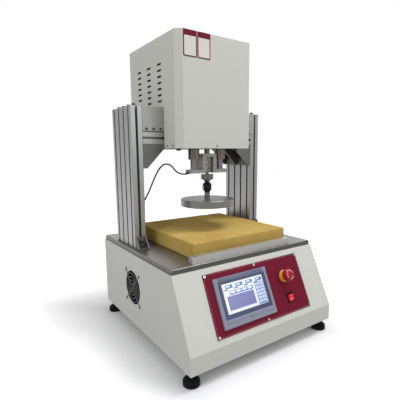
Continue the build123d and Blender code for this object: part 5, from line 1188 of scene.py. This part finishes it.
    def arrows(self) -> None:
        """Make the curved arrows that show which way the knob turns."""
        shape = Shape()
        radius, half, thick = self.arrow_radius, self.arrow_half_width, self.arrow_thickness
        sweep = math.radians(self.arrow_sweep)
        section = [
            (radius - half, 0.0), (radius + half, 0.0), (radius + half, thick), (radius - half, thick)
        ]
        tip = Matrix.Translation(
            (radius, self.arrow_lead, thick / 2)
        ) @ Matrix.Rotation(math.radians(30), 4, "Z")
        for index in range(self.arrow_count):
            start = math.radians(index * 360 / self.arrow_count + self.arrow_start)
            verts = [shape.bm.verts.new((r * math.cos(start), r * math.sin(start), z)) for r, z in section]
            face = shape.bm.faces.new(verts)
            bmesh.ops.spin(
                shape.bm, geom=[face, *face.edges, *verts], cent=(0, 0, 0), axis=(0, 0, 1), dvec=(0, 0, 0),
                angle=sweep, steps=10,
            )
            bmesh.ops.create_cone(
                shape.bm, cap_ends=True, segments=3, radius1=self.arrow_tip, radius2=self.arrow_tip_top,
                depth=thick, matrix=Matrix.Rotation(start + sweep, 4, "Z") @ tip,
            )
        place = self.at(*self.stop, self.reach("estop_knob") - self.arrow_sink)
        self.fit(shape.piece("stop_arrows", [Kit.ARROW], place), "stop_knob", "red_plastic")

    def rocker_marks(self) -> None:
        """Make the rocker's two moulded marks, a bar for on and a ring for off."""
        tilted = self.at(*self.switch, 0.0) @ Matrix.Rotation(math.radians(self.rocker_tilt), 4, "X")
        marks = {"rocker_on": 1, "rocker_off": -1}
        for name, way in marks.items():
            shape = Shape()
            if way > 0:
                shape.block((0.0009, 0.0042, self.mark_thickness), (0, 0, 0), bevel=0.0001)
            else:
                half = self.mark_thickness / 2
                shape.lathe([(0.0014, -half), (0.0021, -half), (0.0021, half), (0.0014, half)], steps=32)
            slope = math.radians(way * self.rocker_slope)
            level = self.rocker_level + self.mark_offset * math.tan(abs(slope))
            place = Matrix.Translation((0, way * self.mark_offset, level)) @ Matrix.Rotation(slope, 4, "X")
            self.fit(shape.piece(name, [Kit.ARROW], tilted @ place), "power_rocker", "red_plastic")


@dataclass
class Cooling(Assembly):
    """The fan in the cabinet's left side."""

    finishes: dict[str, Finish] = field(default_factory=lambda: {
        "fan_frame": Kit.BLACK, "fan_rotor": Kit.BLACK, "fan_guard": Kit.GUARD,
        "fan_screws": Kit.BRIGHT_SCREW,
    })


@dataclass
class Electrics(Assembly):
    """The supply, drive and controller inside the cabinet."""

    finishes: dict[str, Finish] = field(default_factory=lambda: {
        "power_supply": Kit.TIN, "servo_drive": Kit.CASE, "controller": Kit.CASE,
    })


@dataclass
class Studio:
    """The floor, the lamps, the surroundings and the camera."""

    focal_px: float = 350.832
    centre_px: tuple[float, float] = (208.482, 207.21)
    eye: tuple[float, float, float] = (-0.733346, -1.031116, 0.626227)
    yaw: float = 35.108
    pitch: float = -8.808
    roll: float = -0.349
    floor_size: float = 9.0
    footprint: tuple[float, float] = (0.29, 0.315)
    world_light: float = 0.46
    room_light: float = 0.42
    backdrop_edge: tuple[float, float] = (0.3, 0.85)
    floor_colour: Colour = (190, 190, 192)
    floor_seen: Colour = (236, 236, 238)
    # Distances beyond the footprint over which the floor's glow rises from nothing to full; nearer in, the
    # floor keeps a painted shadow.
    painted_shadow_reach: tuple[float, float] = (-0.03, 0.3)
    glow: float = 0.6
    aim: tuple[float, float, float] = (0.0, 0.0, 0.5)
    sensor: float = 36.0
    lamps: tuple[tuple[str, tuple[float, float, float], float, float], ...] = (
        ("top", (1.0, -0.6, 3.1), 1.3, 44.0),
        ("left", (-3.0, -1.2, 2.2), 2.2, 33.0),
        ("front", (1.4, -3.0, 1.9), 2.2, 24.0),
    )

    def build(self) -> None:
        """Set up the whole studio."""
        bpy.context.scene.view_settings.view_transform = "Standard"
        self.surroundings()
        self.floor()
        self.light()
        self.camera()

    def background_share(self, bench: Bench) -> Any:
        """Return 1 where the camera, a mirror or a glass sees the background, and else 0."""
        rays = bench.add("ShaderNodeLightPath")
        share = bench.larger(rays.outputs["Is Camera Ray"], rays.outputs["Is Glossy Ray"])
        return bench.larger(share, rays.outputs["Is Transmission Ray"])

    def surroundings(self) -> None:
        """Make a world that looks white and lights softly, and that metal sees dimmer behind the camera."""
        world = bpy.data.worlds.new("studio")
        bpy.context.scene.world = world
        world.use_nodes = True
        bench = Bench(world.node_tree)
        plain = world.node_tree.nodes["Background"]
        plain.inputs["Color"].default_value = (1, 1, 1, 1)
        plain.inputs["Strength"].default_value = self.world_light
        heading = (math.sin(math.radians(self.yaw)), math.cos(math.radians(self.yaw)), 0.0)
        direction = bench.add("ShaderNodeTexCoord").outputs["Generated"]
        ahead = bench.dot(direction, heading)
        backdrop = bench.spread(ahead, *self.backdrop_edge, self.room_light, 1.0)
        seen = bench.larger(backdrop, bench.add("ShaderNodeLightPath").outputs["Is Camera Ray"])
        white = bench.add("ShaderNodeBackground", {"Color": (1, 1, 1, 1), "Strength": seen})
        mixed = bench.add(
            "ShaderNodeMixShader",
            {0: self.background_share(bench), 1: plain.outputs[0], 2: white.outputs[0]}
        )
        bench.join(mixed.outputs[0], world.node_tree.nodes["World Output"], "Surface")

    def floor(self) -> None:
        """Make the pale floor that keeps the machine's shadow, with a painted shadow round the machine's
        footprint where the floor's glow fades out.
        """
        shape = Shape()
        bmesh.ops.create_grid(shape.bm, x_segments=2, y_segments=2, size=self.floor_size)
        mesh = bpy.data.meshes.new("floor")
        shape.bm.to_mesh(mesh)
        shape.bm.free()
        material = bpy.data.materials.new("floor")
        material.use_nodes = True
        bench = Bench(material.node_tree)
        nodes = material.node_tree.nodes
        shader = nodes["Principled BSDF"]
        shader.inputs["Base Color"].default_value = linear(self.floor_colour)
        shader.inputs["Roughness"].default_value = 0.9
        shader.inputs["Specular IOR Level"].default_value = 0.0
        spot = bench.add("ShaderNodeSeparateXYZ", {0: bench.place()})
        beside = bench.minus(bench.maths("ABSOLUTE", spot.outputs["X"]), self.footprint[0])
        before = bench.minus(bench.maths("ABSOLUTE", spot.outputs["Y"]), self.footprint[1])
        # Painted shadow: the glow is 0 within the footprint and rises over the reach beyond it, so the
        # floor is darker round the machine.
        glow_outside_painted_shadow = bench.spread(bench.larger(beside, before), *self.painted_shadow_reach, 0.0, self.glow)
        glow = bench.add("ShaderNodeEmission", {"Color": (1, 1, 1, 1), "Strength": glow_outside_painted_shadow})
        pale = bench.add("ShaderNodeBsdfDiffuse", {"Color": linear(self.floor_seen)})
        added = bench.add("ShaderNodeAddShader", {0: pale.outputs[0], 1: glow.outputs[0]})
        reflected = bench.spread(spot.outputs["Y"], -1.0, 1.0, self.room_light, 1.0)
        room = bench.add("ShaderNodeEmission", {"Color": (1, 1, 1, 1), "Strength": reflected})
        rays = bench.add("ShaderNodeLightPath")
        mirrored = bench.larger(rays.outputs["Is Glossy Ray"], rays.outputs["Is Transmission Ray"])
        seen = bench.add(
            "ShaderNodeMixShader",
            {0: rays.outputs["Is Camera Ray"], 1: shader.outputs[0], 2: added.outputs[0]}
        )
        mixed = bench.add("ShaderNodeMixShader", {0: mirrored, 1: seen.outputs[0], 2: room.outputs[0]})
        bench.join(mixed.outputs[0], nodes["Material Output"], "Surface")
        mesh.materials.append(material)
        floor = bpy.data.objects.new("floor", mesh)
        bpy.context.scene.collection.objects.link(floor)

    def light(self) -> None:
        """Hang the soft lamps, each aimed at the middle of the machine."""
        middle = Vector(self.aim)
        for name, place, size, power in self.lamps:
            lamp = bpy.data.lights.new(name, "AREA")
            lamp.shape = "DISK"
            lamp.size = size
            lamp.energy = power
            hung = bpy.data.objects.new(name, lamp)
            hung.location = place
            hung.rotation_euler = (middle - Vector(place)).to_track_quat("-Z", "Y").to_euler()
            bpy.context.scene.collection.objects.link(hung)

    def camera(self) -> None:
        """Put the camera where the photograph was taken from."""
        data = bpy.data.cameras.new("camera")
        data.sensor_width = self.sensor
        data.lens = self.focal_px * data.sensor_width / IMAGE_SIDE
        data.shift_x = (IMAGE_SIDE / 2 - self.centre_px[0]) / IMAGE_SIDE
        data.shift_y = (self.centre_px[1] - IMAGE_SIDE / 2) / IMAGE_SIDE
        yaw, pitch, roll = (math.radians(a) for a in (self.yaw, self.pitch, self.roll))
        ahead = Vector((math.sin(yaw) * math.cos(pitch), math.cos(yaw) * math.cos(pitch), math.sin(pitch)))
        right = Vector((math.cos(yaw), -math.sin(yaw), 0))
        up = right.cross(ahead)
        level, rise = right, up
        right = level * math.cos(roll) + rise * math.sin(roll)
        up = rise * math.cos(roll) - level * math.sin(roll)
        turned = Matrix((right, up, -ahead)).transposed().to_4x4()
        camera = bpy.data.objects.new("camera", data)
        camera.matrix_world = Matrix.Translation(self.eye) @ turned
        bpy.context.scene.collection.objects.link(camera)
        bpy.context.scene.camera = camera


def main() -> None:
    """Build every sub-assembly in order, then the studio."""
    logging.basicConfig(level=logging.INFO, format="%(message)s")
    Studio().build()
    assemblies = (
        SensorCable, Cabinet, Portal, Head, LoadTrain, FoamSpecimen, ControlPanel, Cooling, Electrics
    )
    for assembly in assemblies:
        assembly().build()
        LOG.info("built %s", assembly.__name__)


if __name__ == "__main__":
    main()
